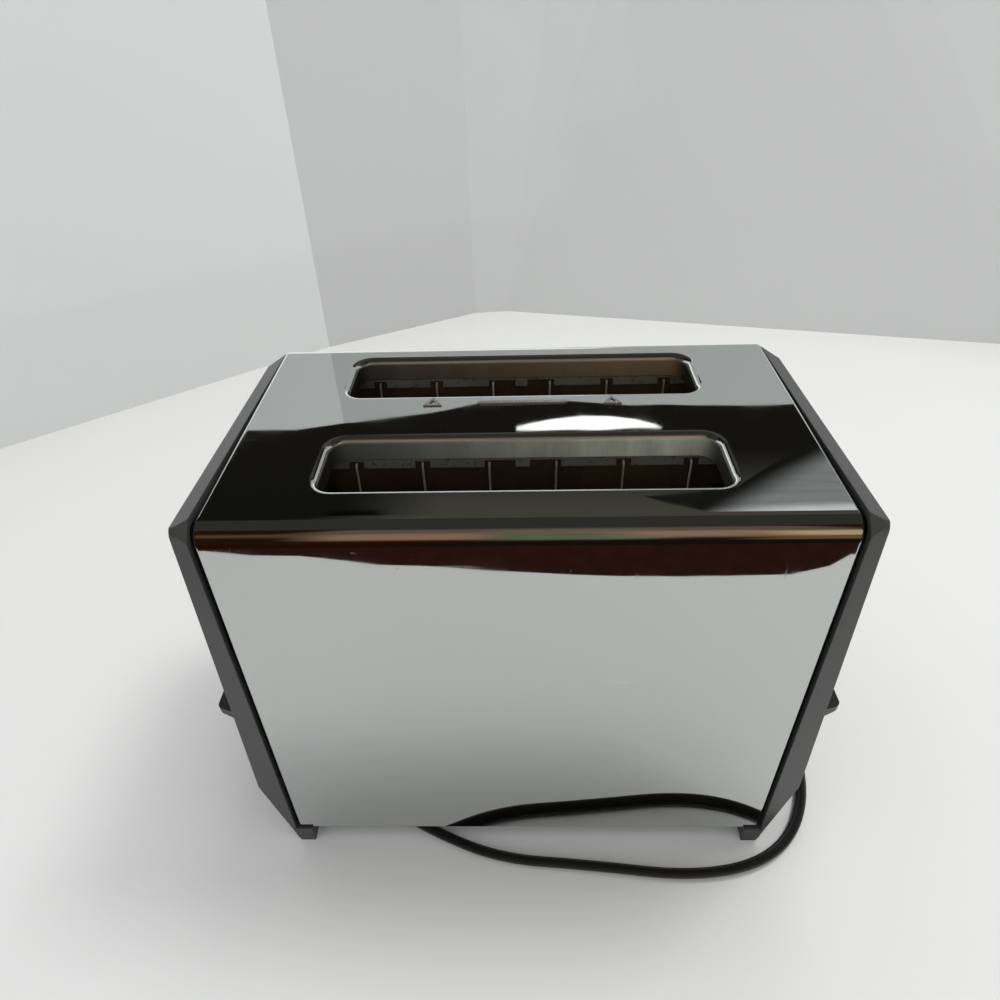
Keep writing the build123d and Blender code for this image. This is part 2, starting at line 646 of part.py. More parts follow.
def heating_ribbon(y, way):
    """The resistance ribbon, wound round its card from the bottom to the top."""
    end = CARD_HALF_LENGTH - 2
    near = sorted((y - way * CARD_SHEET / 2, y - way * (CARD_SHEET / 2 + RIBBON_SHEET)))
    far = sorted((y + way * CARD_SHEET / 2, y + way * (CARD_SHEET / 2 + RIBBON_SHEET)))
    across = (min(near[0], far[0]), max(near[1], far[1]))
    pitch = (RIBBON_TOP - RIBBON_BOTTOM) / RIBBON_TURNS
    ribbon = []
    for turn in range(RIBBON_TURNS):
        z = RIBBON_BOTTOM + pitch * turn
        middle = z + pitch / 2
        ribbon.append(ribbon_run((-end, end), z, middle, tuple(near)))
        ribbon.append(block((end, end + RIBBON_SHEET), across, (middle, middle + RIBBON_WIDTH)))
        if turn < RIBBON_TURNS - 1:
            ribbon.append(ribbon_run((-end, end), z + pitch, middle, tuple(far)))
            ribbon.append(block((-end - RIBBON_SHEET, -end), across, (z + pitch, z + pitch + RIBBON_WIDTH)))
    return ribbon[0].fuse(*ribbon[1:])


def card_strip(y, way):
    """The notched steel strip that caps the slot side of a card's top edge."""
    face = y - way * CARD_SHEET / 2
    sheet = tuple(sorted((face, face - way * STRIP_SHEET)))
    strip = block((-EAR_HALF_LENGTH, EAR_HALF_LENGTH), sheet, (STRIP_BOTTOM, STRIP_TOP))
    notch_z = (STRIP_BOTTOM - 1, STRIP_BOTTOM + NOTCH_HEIGHT)
    for side in (-1, 1):
        for x in WIRE_X[1:]:
            middle = side * x
            strip -= block((middle - NOTCH_WIDTH / 2, middle + NOTCH_WIDTH / 2), sheet, notch_z)
        strip -= block(tuple(sorted((side * WIDE_NOTCH[0], side * WIDE_NOTCH[1]))), sheet, notch_z)
    return strip


def guard_wires(y, way):
    """Six upright wires that keep the bread off a card, each hooked over to the card."""
    wire_y = y - way * (CARD_SHEET / 2 + STRIP_SHEET + STRIP_OFFSET - WIRE_OFFSET)
    face = y - way * CARD_SHEET / 2
    hook_z = STRIP_BOTTOM + NOTCH_HEIGHT - WIRE_RADIUS - 0.3
    wires = []
    low = CARD_BOTTOM + RAIL_HEIGHT
    for x in [side * x for side in (-1, 1) for x in WIRE_X]:
        path = Polyline((x, wire_y, low), (x, wire_y, hook_z), (x, face, hook_z))
        section = Plane(origin=(x, wire_y, low), z_dir=(0, 0, 1)) * RegularPolygon(WIRE_RADIUS, WIRE_SIDES)
        wires.append(sweep(section, path=path, transition=Transition.RIGHT))
    return group(wires)


def guard_rails():
    """The bottom rails that the guard wires of the four cards stand in."""
    rails = []
    for y, way in card_places():
        face = y - way * CARD_SHEET / 2
        depth = STRIP_SHEET + STRIP_OFFSET - WIRE_OFFSET + RAIL_MARGIN
        sheet = tuple(sorted((face, face - way * depth)))
        rails.append(block((-WEB_X, WEB_X), sheet, (CARD_BOTTOM, CARD_BOTTOM + RAIL_HEIGHT)))
    return group(rails)


def baffle(side):
    """The reflector sheet between the outer card and the body shell."""
    outer = min(y for y, _ in card_places()) if side < 0 else max(y for y, _ in card_places())
    y = outer + side * BAFFLE_GAP
    sheet = tuple(sorted((y, y + side * SHEET)))
    baffle_sheet = block((-WEB_X, WEB_X), sheet, (FLOOR_IN, WEB_TOP))
    fold = tuple(sorted((y, y + side * 5)))
    return baffle_sheet + block((-WEB_X, WEB_X), fold, (FLOOR_IN, FLOOR_IN + SHEET))


def bread_rack(y):
    """The bread carrier: an edge-on bar with crosswise fingers."""
    bottom = RACK_TOP - RACK_HEIGHT
    bar = block((-CROSSBAR_X, CROSSBAR_X), (y - RACK_SHEET / 2, y + RACK_SHEET / 2), (bottom, RACK_TOP))
    pitch = 2 * (THROAT_HALF_LENGTH - 10) / (RACK_FINGERS - 1)
    for finger in range(RACK_FINGERS):
        x = -THROAT_HALF_LENGTH + 10 + pitch * finger
        points = [
            (y - FINGER_HALF_WIDTH, RACK_TOP),
            (y - FINGER_HALF_WIDTH, RACK_TOP - 3),
            (y, bottom),
            (y + FINGER_HALF_WIDTH, RACK_TOP - 3),
            (y + FINGER_HALF_WIDTH, RACK_TOP),
        ]
        bar += plate_yz(points, (x - RACK_SHEET / 2, x + RACK_SHEET / 2))
    return bar


def carriage_slide():
    """Bushing, crossbar, catch and lever arm that move together on the guide rod."""
    bottom = RACK_TOP - RACK_HEIGHT
    bushing = (bottom - 4, bottom - 4 + BUSHING_HEIGHT)
    slide = block(
        (CROSSBAR_X, CROSSBAR_X + RACK_SHEET),
        (MIDDLE_Y - CROSSBAR_HALF, MIDDLE_Y + CROSSBAR_HALF),
        (bottom, RACK_TOP),
    )
    slide += block((CROSSBAR_X, ROD_X), (MIDDLE_Y - 3, MIDDLE_Y + 3), (bottom, RACK_TOP))
    slide += rod_z(BUSHING_RADIUS, ROD_X, MIDDLE_Y, bushing)
    arm_y = (MIDDLE_Y - LEVER_SHEET / 2, MIDDLE_Y + LEVER_SHEET / 2)
    low = LEVER_Z - LEVER_HEIGHT / 2
    high = LEVER_Z + LEVER_HEIGHT / 2
    arm = [
        (ROD_X, RACK_TOP),
        (ROD_X + 10, RACK_TOP),
        (ROD_X + 10, low),
        (LEVER_END_X, low),
        (LEVER_END_X, high),
        (ROD_X + 4, high),
        (ROD_X + 4, bushing[1]),
        (ROD_X, bushing[1]),
    ]
    slide += plate_xz(arm, arm_y)
    catch_y = (LATCH_PIVOT[0] - 6, LATCH_PIVOT[0] - 2)
    slide += block((CROSSBAR_X, LATCH_X + LATCH_SHEET + 0.5), catch_y, (bottom, bottom + 3))
    return slide - rod_z(ROD_RADIUS + RUNNING_FIT, ROD_X, MIDDLE_Y, (0, 200))


def left_rack_link():
    bottom = RACK_TOP - RACK_HEIGHT
    return block(
        (-CROSSBAR_X - RACK_SHEET, -CROSSBAR_X),
        (MIDDLE_Y - CROSSBAR_HALF, MIDDLE_Y + CROSSBAR_HALF),
        (bottom, RACK_TOP),
    )


def lever_knob():
    """The moulded thumb lever: a rounded block with a dished top."""
    span = (KNOB_INNER_X, LEDGE_TIP_X - 0.5)
    knob = block(
        span,
        (MIDDLE_Y - KNOB_HALF_WIDTH, MIDDLE_Y + KNOB_HALF_WIDTH),
        (LEVER_Z - KNOB_HEIGHT / 2, LEVER_Z + KNOB_HEIGHT / 2),
    )
    knob = fillet(knob.edges().filter_by(Axis.Z).group_by(Axis.X)[-1], 5.0)
    knob = fillet(knob.edges().group_by(Axis.Z)[-1], 1.5)
    dish_radius = 60.0
    dish = rod_x(dish_radius, (span[0] + 3, span[1] + 1), MIDDLE_Y, LEVER_Z + KNOB_HEIGHT / 2 + dish_radius - 1)
    knob -= dish
    fit = 0.05
    socket = block(
        (KNOB_INNER_X - 1, LEVER_END_X + fit),
        (MIDDLE_Y - LEVER_SHEET / 2 - fit, MIDDLE_Y + LEVER_SHEET / 2 + fit),
        (LEVER_Z - LEVER_HEIGHT / 2 - fit, LEVER_Z + LEVER_HEIGHT / 2 + fit),
    )
    return knob - socket


def guide_rod():
    return rod_z(ROD_RADIUS, ROD_X, MIDDLE_Y, (FLOOR_IN, ROD_TOP))


def rod_bracket():
    """The small angle that holds the guide rod's top to the inner end plate."""
    top = (ROD_TOP - 6, ROD_TOP - 6 + SHEET)
    y = (MIDDLE_Y - 8, MIDDLE_Y + 8)
    bracket = block((WEB_X + PLATE, ROD_X + 5), y, top)
    bracket += block((WEB_X + PLATE, WEB_X + PLATE + SHEET), y, (ROD_TOP - 16, top[1]))
    return bracket - rod_z(ROD_RADIUS + RUNNING_FIT, ROD_X, MIDDLE_Y, (0, 200))


def biarc(start, start_way, end, end_way):
    """Two arcs, tangent to each other, from one point and heading to the next."""
    across = end - start
    both = start_way + end_way
    a = 2 * (1 - start_way.dot(end_way))
    b = 2 * across.dot(both)
    reach = (-b + (b * b + 4 * a * across.dot(across)) ** 0.5) / (2 * a)
    first_corner = start + start_way * reach
    second_corner = end - end_way * reach
    middle = (first_corner + second_corner) * 0.5
    first = TangentArc(start, middle, tangent=start_way)
    second = TangentArc(middle, end, tangent=second_corner - first_corner)
    return [first, second]


def winding(points, headings):
    """One path of arcs through points, each pair joined by two arcs."""
    arcs = []
    for here, way, there, next_way in zip(points, headings, points[1:], headings[1:]):
        arcs += biarc(here, way, there, next_way)
    return [edge for arc in arcs for edge in arc.edges()]


def lift_spring():
    """The long compression spring that raises the carriage, on the guide rod."""
    low = FLOOR_IN + SPRING_WIRE
    high = RACK_TOP - RACK_HEIGHT - 4 - SPRING_WIRE
    rise = (high - low) / SPRING_TURNS
    points = []
    headings = []
    for half_turn in range(2 * SPRING_TURNS + 1):
        side = cos(pi * half_turn)
        points.append(Vector(ROD_X + SPRING_RADIUS * side, MIDDLE_Y, low + rise * half_turn / 2))
        headings.append(Vector(0, SPRING_RADIUS * side, rise / (2 * pi)).normalized())
    section = Plane(origin=points[0], z_dir=headings[0]) * Circle(SPRING_WIRE)
    print(f"spring: least gap between turns {rise - 2 * SPRING_WIRE:.2f} mm")
    return sweep(section, path=Wire(winding(points, headings)))


def control_bracket():
    """The upright that carries the browning shaft."""
    x = (CONTROL_SHAFT_INNER_X, CONTROL_SHAFT_INNER_X + PLATE)
    top = CONTROL_Z + 10
    bracket = block(x, (CONTROL_Y - 9, CONTROL_Y + 9), (FLOOR_IN + PLATE, top))
    bracket += block((x[0], x[0] + 3), (CONTROL_Y - 9, CONTROL_Y + 9), (FLOOR_IN + PLATE, FLOOR_IN + 2 * PLATE))
    return bracket - rod_x(CONTROL_SHAFT_RADIUS + RUNNING_FIT, (x[0] - 1, x[1] + 1), CONTROL_Y, CONTROL_Z)


def browning_shaft():
    """The control shaft with its snail cam."""
    shaft = rod_x(CONTROL_SHAFT_RADIUS, (CONTROL_SHAFT_INNER_X, CONTROL_KNOB_X + 6), CONTROL_Y, CONTROL_Z)
    points = []
    steps = 18
    for step in range(steps + 1):
        turn = 2 * pi * step / steps
        radius = CAM_LOW_RADIUS + (CAM_RADIUS - CAM_LOW_RADIUS) * step / steps
        points.append((CONTROL_Y + radius * cos(turn), CONTROL_Z + radius * sin(turn)))
    return shaft + plate_yz(points, (CAM_X, CAM_X + CAM_LENGTH))


def browning_knob():
    """The control knob: a fluted skirt with a pointer flat."""
    x = (CONTROL_KNOB_X, CONTROL_KNOB_X + CONTROL_KNOB_LENGTH)
    knob = rod_x(CONTROL_KNOB_RADIUS, x, CONTROL_Y, CONTROL_Z)
    knob = chamfer(knob.edges().group_by(Axis.X)[-1], 1.2)
    flutes = 12
    for flute in range(flutes):
        turn = 2 * pi * (flute + 0.5) / flutes
        y = CONTROL_Y + (CONTROL_KNOB_RADIUS + 0.8) * cos(turn)
        z = CONTROL_Z + (CONTROL_KNOB_RADIUS + 0.8) * sin(turn)
        knob -= rod_x(1.6, (x[0] + 2.5, x[1] + 1), y, z)
    knob -= block((x[1] - 0.6, x[1] + 1), (CONTROL_Y - 0.6, CONTROL_Y + 0.6), (CONTROL_Z + 2, CONTROL_Z + 20))
    return knob - rod_x(CONTROL_SHAFT_RADIUS, (x[0] - 1, x[0] + 6), CONTROL_Y, CONTROL_Z)


def bimetal_strip():
    """The bimetal blade whose bending trips the latch."""
    y = CONTROL_Y - CAM_RADIUS - CAM_CLEARANCE
    return block((CAM_X - 1, CAM_X + 7), (y - SHEET, y), (FLOOR_IN + 4, RACK_TOP - 14))


def thermostat_foot():
    y = CONTROL_Y - CAM_RADIUS - CAM_CLEARANCE
    foot = block((CAM_X - 1, CAM_X + 7), (y - SHEET - 8, y + 4), (FLOOR_IN, FLOOR_IN + 4))
    foot += block((CAM_X - 1, CAM_X + 7), (y - SHEET - 2, y - SHEET), (FLOOR_IN, FLOOR_IN + 14))
    return foot


def latch_lever():
    """The sprung hook that swings over the carriage's catch when it is down."""
    y, z = LATCH_PIVOT
    top = SLIDE_DOWN + 3 + 5
    x = (LATCH_X, LATCH_X + LATCH_SHEET)
    points = [
        (y - 3, z - 4),
        (y + 4, z - 4),
        (y + 4, top),
        (y - 1.2, top),
        (y - 1.2, top - 3.5),
        (y + 0.5, top - 4.5),
        (y + 0.5, z + 4),
        (y - 3, z + 4),
    ]
    return plate_yz(points, x) - rod_x(LATCH_PIN_RADIUS + RUNNING_FIT, (x[0] - 1, x[1] + 1), y, z)


def latch_pin():
    """The headed pin that the latch lever turns on."""
    y, z = LATCH_PIVOT
    pin = rod_x(LATCH_PIN_RADIUS, (WEB_X + PLATE, LATCH_X + LATCH_SHEET + 0.4), y, z)
    pin += rod_x(LATCH_PIN_RADIUS + 1, (LATCH_X + LATCH_SHEET + 0.3, LATCH_X + LATCH_SHEET + 1.3), y, z)
    return pin + rod_x(LATCH_PIN_RADIUS + 1, (WEB_X + PLATE, LATCH_X - 0.3), y, z)


def switch_block():
    top = SLIDE_DOWN - CONTACT_GAP - CONTACT_RISE
    y = (SWITCH_FRONT_Y, SWITCH_FRONT_Y + SWITCH_DEPTH)
    return block((WEB_X + PLATE, SWITCH_END_X), y, (top - SWITCH_HEIGHT, top))


def switch_contacts():
    """Two spring leaves that the contact bridge presses on."""
    z = SLIDE_DOWN - CONTACT_GAP - CONTACT_RISE
    tip = MIDDLE_Y + CROSSBAR_HALF + 2
    leaves = []
    for x in (SWITCH_END_X - 8, SWITCH_END_X - 3):
        leaf = block((x, x + 3), (tip, SWITCH_FRONT_Y + LEAF_HELD), (z, z + 0.4))
        leaves.append(leaf + block((x, x + 3), (tip, tip + 3), (z + 0.4, z + CONTACT_RISE)))
    return group(leaves)


def contact_bridge():
    """The insulated bar on the carriage that closes both switch contacts."""
    bottom = RACK_TOP - RACK_HEIGHT
    end = MIDDLE_Y + CROSSBAR_HALF
    return block((SWITCH_END_X - 8, SWITCH_END_X), (end, end + 7), (bottom, bottom + 5))


def terminal_block():
    body = block(TERMINAL_X, TERMINAL_Y, (FLOOR_IN, FLOOR_IN + TERMINAL_HEIGHT))
    for y in terminal_places():
        body -= rod_z(SCREW_RADIUS, -91.5, y, (FLOOR_IN + 4, FLOOR_IN + 30))
    return body


def terminal_places():
    middle = (TERMINAL_Y[0] + TERMINAL_Y[1]) / 2
    return (middle - 10, middle, middle + 10)


def terminal_screws():
    screws = []
    top = FLOOR_IN + TERMINAL_HEIGHT
    for y in terminal_places():
        screw = rod_z(SCREW_RADIUS, -91.5, y, (FLOOR_IN + 4, top)) + rod_z(2.8, -91.5, y, (top, top + 1.6))
        screws.append(screw - block((-94.5, -88.5), (y - 0.4, y + 0.4), (top + 1.0, top + 2)))
    return group(screws)


def supply_leads():
    """The two insulated leads from the strain relief to the terminal block."""
    leads = []
    for x, z in ((GLAND_X[0] + 4.6, FLOOR_IN + 5), (GLAND_X[1] - 4.6, FLOOR_IN + 8)):
        path = FilletPolyline((x, GLAND_Y, FLOOR_IN), (x, GLAND_Y, z), (x, TERMINAL_Y[0], z), radius=3.5)
        section = Plane(origin=(x, GLAND_Y, FLOOR_IN), z_dir=(0, 0, 1)) * RegularPolygon(LEAD_RADIUS, LEAD_SIDES)
        leads.append(sweep(section, path=path))
    return group(leads)


def bus_strips():
    """Flat nickel links between the card ears behind the left end plate."""
    y = [place for place, _ in card_places()]
    x = -EAR_HALF_LENGTH
    strips = []
    for low, first, last in ((CARD_BOTTOM + 1, y[0], y[1]), (CARD_BOTTOM + 1, y[2], y[3])):
        strips.append(block((x - 0.5, x), (first - 2, last + 2), (low, low + 5)))
    low = RIBBON_TOP + 2
    strips.append(block((x - 0.5, x), (y[1] - 2, y[2] + 2), (low, low + 5)))
    return group(strips)


def strain_relief():
    """The moulded cord entry: a block under the base with a stem through it."""
    x = GLAND_X
    y = (GLAND_Y - GLAND_HALF_WIDTH, GLAND_Y + GLAND_HALF_WIDTH)
    body = block(x, y, (GLAND_BOTTOM, BASE_Z))
    body = fillet(body.edges().filter_by(Axis.Z), 2.0)
    return body + block((x[0] + 3.2, x[1] - 3.2), (GLAND_Y - 2.8, GLAND_Y + 2.8), (BASE_Z, FLOOR_IN))


def bend_radii(route):
    """Each bend is as wide as its two runs allow."""
    points = [Vector(*p) for p in route]
    radii = []
    for before, here, after in zip(points, points[1:], points[2:]):
        turn = (here - before).get_angle(after - here)
        shorter = min((here - before).length, (after - here).length)
        radii.append(0.45 * shorter / tan(radians(turn) / 2))
    return radii


def cord_tube(name, route):
    """A round cord along straight runs joined by tangent arcs."""
    radii = bend_radii(route)
    path = FilletPolyline(*route, radius=radii)
    start = Vector(*route[0])
    heading = Vector(*route[1]) - start
    cord = sweep(Plane(origin=start, z_dir=heading) * Circle(CORD_RADIUS), path=path)
    report_cord(name, cord, path.length)
    print(f"{name}: bend radii {[round(r) for r in radii]} mm")
    return cord


def report_cord(name, cord, length):
    share = cord.volume / (pi * CORD_RADIUS**2 * length)
    print(f"{name}: length {length:.0f} mm, volume over section times length {share:.4f}")


def coil_point(turn):
    """The coil's centre line after a number of turns from where the cord comes in."""
    inner = COIL_OUTER_RADIUS - COIL_PITCH * COIL_TURNS_IN
    climbed = turn - COIL_TURNS_IN
    share = min(max(climbed / COIL_TURNS_CLIMB, 0), 1)
    radius = COIL_OUTER_RADIUS - COIL_PITCH * turn
    if share == 1:
        radius = inner + COIL_PITCH * (climbed - COIL_TURNS_CLIMB)
    elif share > 0:
        radius = inner - COIL_PITCH * climbed * (1 - share)
    height = CORD_FLOOR_Z + COIL_PITCH * (1 - cos(pi * share)) / 2
    angle = 2 * pi * turn
    return Vector(COIL_CENTRE[0] + radius * cos(angle), COIL_CENTRE[1] + radius * sin(angle), height)


def coil_heading(turn):
    """The way the centre line goes there, square to the radius at both ends."""
    if turn in (0, COIL_TURNS):
        return Vector(-sin(2 * pi * turn), cos(2 * pi * turn), 0)
    step = 0.001
    return (coil_point(turn + step) - coil_point(turn - step)).normalized()


def coil_end():
    return coil_point(COIL_TURNS) + coil_heading(COIL_TURNS) * COIL_STRAIGHT


def least_coil_gap(path):
    """The least clear distance between turns, measured on points of the centre line."""
    steps = 600
    points = [path @ (step / steps) for step in range(steps + 1)]
    far_apart = round(steps * 0.5 / COIL_TURNS)
    least = min(
        (points[b] - points[a]).length
        for a in range(steps + 1)
        for b in range(a + far_apart, steps + 1)
    )
    return least - 2 * CORD_RADIUS


def supply_cord_coil():
    """The spare cord, wound in two layers."""
    quarters = round(4 * COIL_TURNS)
    turns = [quarter / 4 for quarter in range(quarters + 1)]
    points = [coil_point(turn) for turn in turns]
    headings = [coil_heading(turn) for turn in turns]
    start = points[0] - headings[0] * COIL_STRAIGHT
    path = Wire([Line(start, points[0]), *winding(points, headings), Line(points[-1], coil_end())])
    coil = sweep(Plane(origin=start, z_dir=headings[0]) * Circle(CORD_RADIUS), path=path)
    report_cord("supply_cord_coil", coil, path.length)
    print(f"supply_cord_coil: least gap between turns {least_coil_gap(path):.2f} mm")
    return coil


def tail_route():
    """The points from the coil's end down to the plug."""
    here = coil_end()
    fall = here.Z - PLUG_Z
    points = [here]
    for (x, y), drop in zip(TAIL_STEPS, TAIL_DROPS):
        points.append(points[-1] + Vector(x, y, -drop * fall))
    return [tuple(point) for point in points]


def plug_frame():
    """The plug's own plane: its cord end, pointing along the cord's last run."""
    back, end = tail_route()[-2:]
    heading = atan2(end[1] - back[1], end[0] - back[0])
    return Pos(*end) * Rot(0, 0, degrees(heading))


def plug_body():
    """A flat-sided moulded plug that widens towards its face."""
    half = PLUG_FACE_WIDTH / 2
    tail = PLUG_TAIL / 2
    plan = make_face(
        Polyline((0, -tail), (8, -tail), (PLUG_LENGTH - 9, -half), (PLUG_LENGTH, -half),
                 (PLUG_LENGTH, half), (PLUG_LENGTH - 9, half), (8, tail), (0, tail), close=True)
    )
    body = extrude(Pos(0, 0, -PLUG_THICKNESS / 2) * plan, PLUG_THICKNESS)
    body = fillet(body.edges().filter_by(Axis.Z), 2.0)
    body = fillet(body.faces().sort_by(Axis.Z)[-1].edges(), 1.5)
    end_face = block((-2, 0), (-20, 20), (-20, 20))
    return plug_frame() * (body - end_face)


def plug_blades():
    blades = []
    for side in (-1, 1):
        y = side * BLADE_PITCH / 2
        blade = block(
            (PLUG_LENGTH, PLUG_LENGTH + BLADE_LENGTH),
            (y - BLADE_SHEET / 2, y + BLADE_SHEET / 2),
            (-BLADE_WIDTH / 2, BLADE_WIDTH / 2),
        )
        blade -= rod_y(1.6, PLUG_LENGTH + BLADE_LENGTH - 4.5, (y - 2, y + 2), 0)
        blades.append(plug_frame() * blade)
    return group(blades)


def main():
    os.makedirs("parts", exist_ok=True)
    write("chrome_shell", chrome_shell())
    panel = end_panel()
    write("left_end_panel", mirror(panel, Plane.YZ))
    write("right_end_panel", right_end_panel())
    write("right_finger_ledge", finger_ledge())
    write("left_finger_ledge", mirror(finger_ledge(), Plane.YZ))
    write("end_panel_screws", end_panel_screws())
    write("base_plate", base_plate())
    write("crumb_door", crumb_door())
    write("crumb_door_stud", crumb_door_stud())
    pin_x = DOOR_HALF_LENGTH - 0.2
    write("crumb_door_pin", rod_x(HINGE_PIN_RADIUS, (-pin_x, pin_x), HINGE_Y, HINGE_Z))
    write("right_end_plate", end_plate())
    write("left_end_plate", mirror(end_plate(), Plane.YZ))
    for name, (y, way) in zip(card_names(), card_places()):
        write(f"{name}_heating_card", heating_card(y))
        write(f"{name}_heating_ribbon", heating_ribbon(y, way))
        write(f"{name}_card_strip", card_strip(y, way))
        write(f"{name}_guard_wires", guard_wires(y, way))
    write("guard_rails", guard_rails())
    write("front_baffle", baffle(-1))
    write("rear_baffle", baffle(1))
    for name, y in SLOTS.items():
        write(f"{name}_bread_rack", bread_rack(y))
    write("carriage_slide", carriage_slide())
    write("left_rack_link", left_rack_link())
    write("lever_knob", lever_knob())
    write("guide_rod", guide_rod())
    write("rod_bracket", rod_bracket())
    write("lift_spring", lift_spring())
    write("control_bracket", control_bracket())
    write("browning_shaft", browning_shaft())
    write("browning_knob", browning_knob())
    write("bimetal_strip", bimetal_strip())
    write("thermostat_foot", thermostat_foot())
    write("latch_lever", latch_lever())
    write("latch_pin", latch_pin())
    write("switch_block", switch_block())
    write("switch_contacts", switch_contacts())
    write("contact_bridge", contact_bridge())
    write("terminal_block", terminal_block())
    write("terminal_screws", terminal_screws())
    write("supply_leads", supply_leads())
    write("bus_strips", bus_strips())
    write("strain_relief", strain_relief())
    write("supply_cord", cord_tube("supply_cord", CORD_ROUTE))
    write("supply_cord_coil", supply_cord_coil())
    write("supply_cord_tail", cord_tube("supply_cord_tail", tail_route()))
    write("plug_body", plug_body())
    write("plug_blades", plug_blades())


main()
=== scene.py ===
from math import cos, pi, radians, sin, tau

import bmesh
import bpy
from mathutils import Matrix, Vector


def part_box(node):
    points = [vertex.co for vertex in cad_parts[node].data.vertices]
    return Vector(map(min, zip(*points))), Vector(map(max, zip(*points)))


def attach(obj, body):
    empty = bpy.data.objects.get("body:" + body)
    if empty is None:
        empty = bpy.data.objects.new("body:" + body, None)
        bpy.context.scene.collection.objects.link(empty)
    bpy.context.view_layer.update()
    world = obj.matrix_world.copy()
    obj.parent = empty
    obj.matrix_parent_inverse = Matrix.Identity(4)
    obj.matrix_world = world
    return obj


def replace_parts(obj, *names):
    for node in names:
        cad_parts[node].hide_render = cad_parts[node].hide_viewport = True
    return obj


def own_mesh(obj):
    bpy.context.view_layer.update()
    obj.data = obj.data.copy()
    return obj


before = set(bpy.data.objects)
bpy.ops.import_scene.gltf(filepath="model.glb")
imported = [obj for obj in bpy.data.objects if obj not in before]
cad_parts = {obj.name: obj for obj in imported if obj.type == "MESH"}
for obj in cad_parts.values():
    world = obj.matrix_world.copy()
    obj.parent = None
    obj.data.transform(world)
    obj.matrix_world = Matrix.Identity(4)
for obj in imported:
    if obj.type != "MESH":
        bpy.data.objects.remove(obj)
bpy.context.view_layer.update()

scene = bpy.context.scene


# Camera
# A wide phone lens held above the front edge, looking down on the slots.
CAMERA_PLACE = (-0.00109, -0.22846, 0.32187)
CAMERA_PITCH = radians(37.72)
CAMERA_YAW = radians(-2.03)
CAMERA_ROLL = radians(-1.90)
CAMERA_LENS = 26.01
CAMERA_SENSOR = 36

forward = Vector((
    sin(CAMERA_YAW) * cos(CAMERA_PITCH), cos(CAMERA_YAW) * cos(CAMERA_PITCH), -sin(CAMERA_PITCH),
))
level_right = Vector((cos(CAMERA_YAW), -sin(CAMERA_YAW), 0))
level_up = level_right.cross(forward)
right = level_right * cos(CAMERA_ROLL) + level_up * sin(CAMERA_ROLL)
up = level_up * cos(CAMERA_ROLL) - level_right * sin(CAMERA_ROLL)
camera = bpy.data.objects.new("camera", bpy.data.cameras.new("camera"))
camera.data.lens = CAMERA_LENS
camera.data.sensor_width = CAMERA_SENSOR
camera.data.clip_start = 0.01
camera.matrix_world = Matrix.Translation(CAMERA_PLACE) @ Matrix((right, up, -forward)).transposed().to_4x4()
scene.collection.objects.link(camera)
scene.camera = camera
scene.view_settings.view_transform = "Standard"


# Supply cord
# A flat two-core flex in soft black PVC, held by a moulded grommet under the base. It is
# extruded round both cores at once, so that a groove runs along the middle of each side.
CORD_WIDTH = 0.0056
CORE_RADIUS = 0.00195
CORE_OFFSET = CORD_WIDTH / 2 - CORE_RADIUS
CORE_ARC = radians(236)
CORE_ARC_STEPS = 13
CORD_TILT = radians(52)
CORD_Z = 0.0028
CORD_EXIT = (-0.082, -0.051, 0.0054)
CORD_ROUTE = (
    CORD_EXIT,
    (-0.062, -0.051, 0.0054),
    (-0.043, -0.0612, CORD_Z),
    (-0.012, -0.0738, CORD_Z),
    (0.026, -0.0764, CORD_Z),
    (0.073, -0.0815, CORD_Z),
    (0.107, -0.074, CORD_Z),
    (0.127, -0.052, CORD_Z),
    (0.134, -0.018, CORD_Z),
    (0.136, 0.022, CORD_Z),
    (0.1314, 0.064, CORD_Z),
    (0.1314, 0.1004, CORD_Z),
)
COIL_CENTRE = (0.096, 0.106)
COIL_OUTER_RADIUS = 0.0354
COIL_PITCH = 0.0062
COIL_TURNS_IN = 1.5
COIL_TURNS_CLIMB = 0.5
COIL_TURNS = 3.25
COIL_POINTS_PER_TURN = 16
PLUG_Z = 0.0056
TAIL_STEPS = ((-0.0056, 0.0), (-0.015, 0.0), (-0.018, 0.0025), (-0.018, 0.004), (-0.015, 0.0005))
TAIL_DROPS = (0.0, 0.0, 0.5, 0.5, 0.0)


class Link:
    """The output of a node, which takes part in sums."""

    def __init__(self, finish, socket):
        self.finish = finish
        self.socket = socket

    def math(self, operation, *values):
        return self.finish.node("ShaderNodeMath", {"operation": operation}, dict(enumerate(values)))

    def __add__(self, other):
        return self.math("ADD", self, other)

    def __sub__(self, other):
        return self.math("SUBTRACT", self, other)

    def __rsub__(self, other):
        return self.math("SUBTRACT", other, self)

    def __mul__(self, other):
        return self.math("MULTIPLY", self, other)

    __radd__ = __add__
    __rmul__ = __mul__

    def above(self, edge, soft):
        """0 below the edge and 1 above it, with a soft step between."""
        kind = {"interpolation_type": "SMOOTHSTEP"}
        sockets = {"Value": self, "From Min": edge - soft, "From Max": edge + soft}
        return self.finish.node("ShaderNodeMapRange", kind, sockets)

    def between(self, low, high, soft):
        """1 between two edges and 0 beyond them."""
        return self.above(low, soft) * (1 - self.above(high, soft))

    def absolute(self):
        return self.math("ABSOLUTE", self)

    def wave(self, pitch):
        """Even ripples from 0 to 1, this many metres apart."""
        return self.math("SINE", self * (tau / pitch)) * 0.5 + 0.5


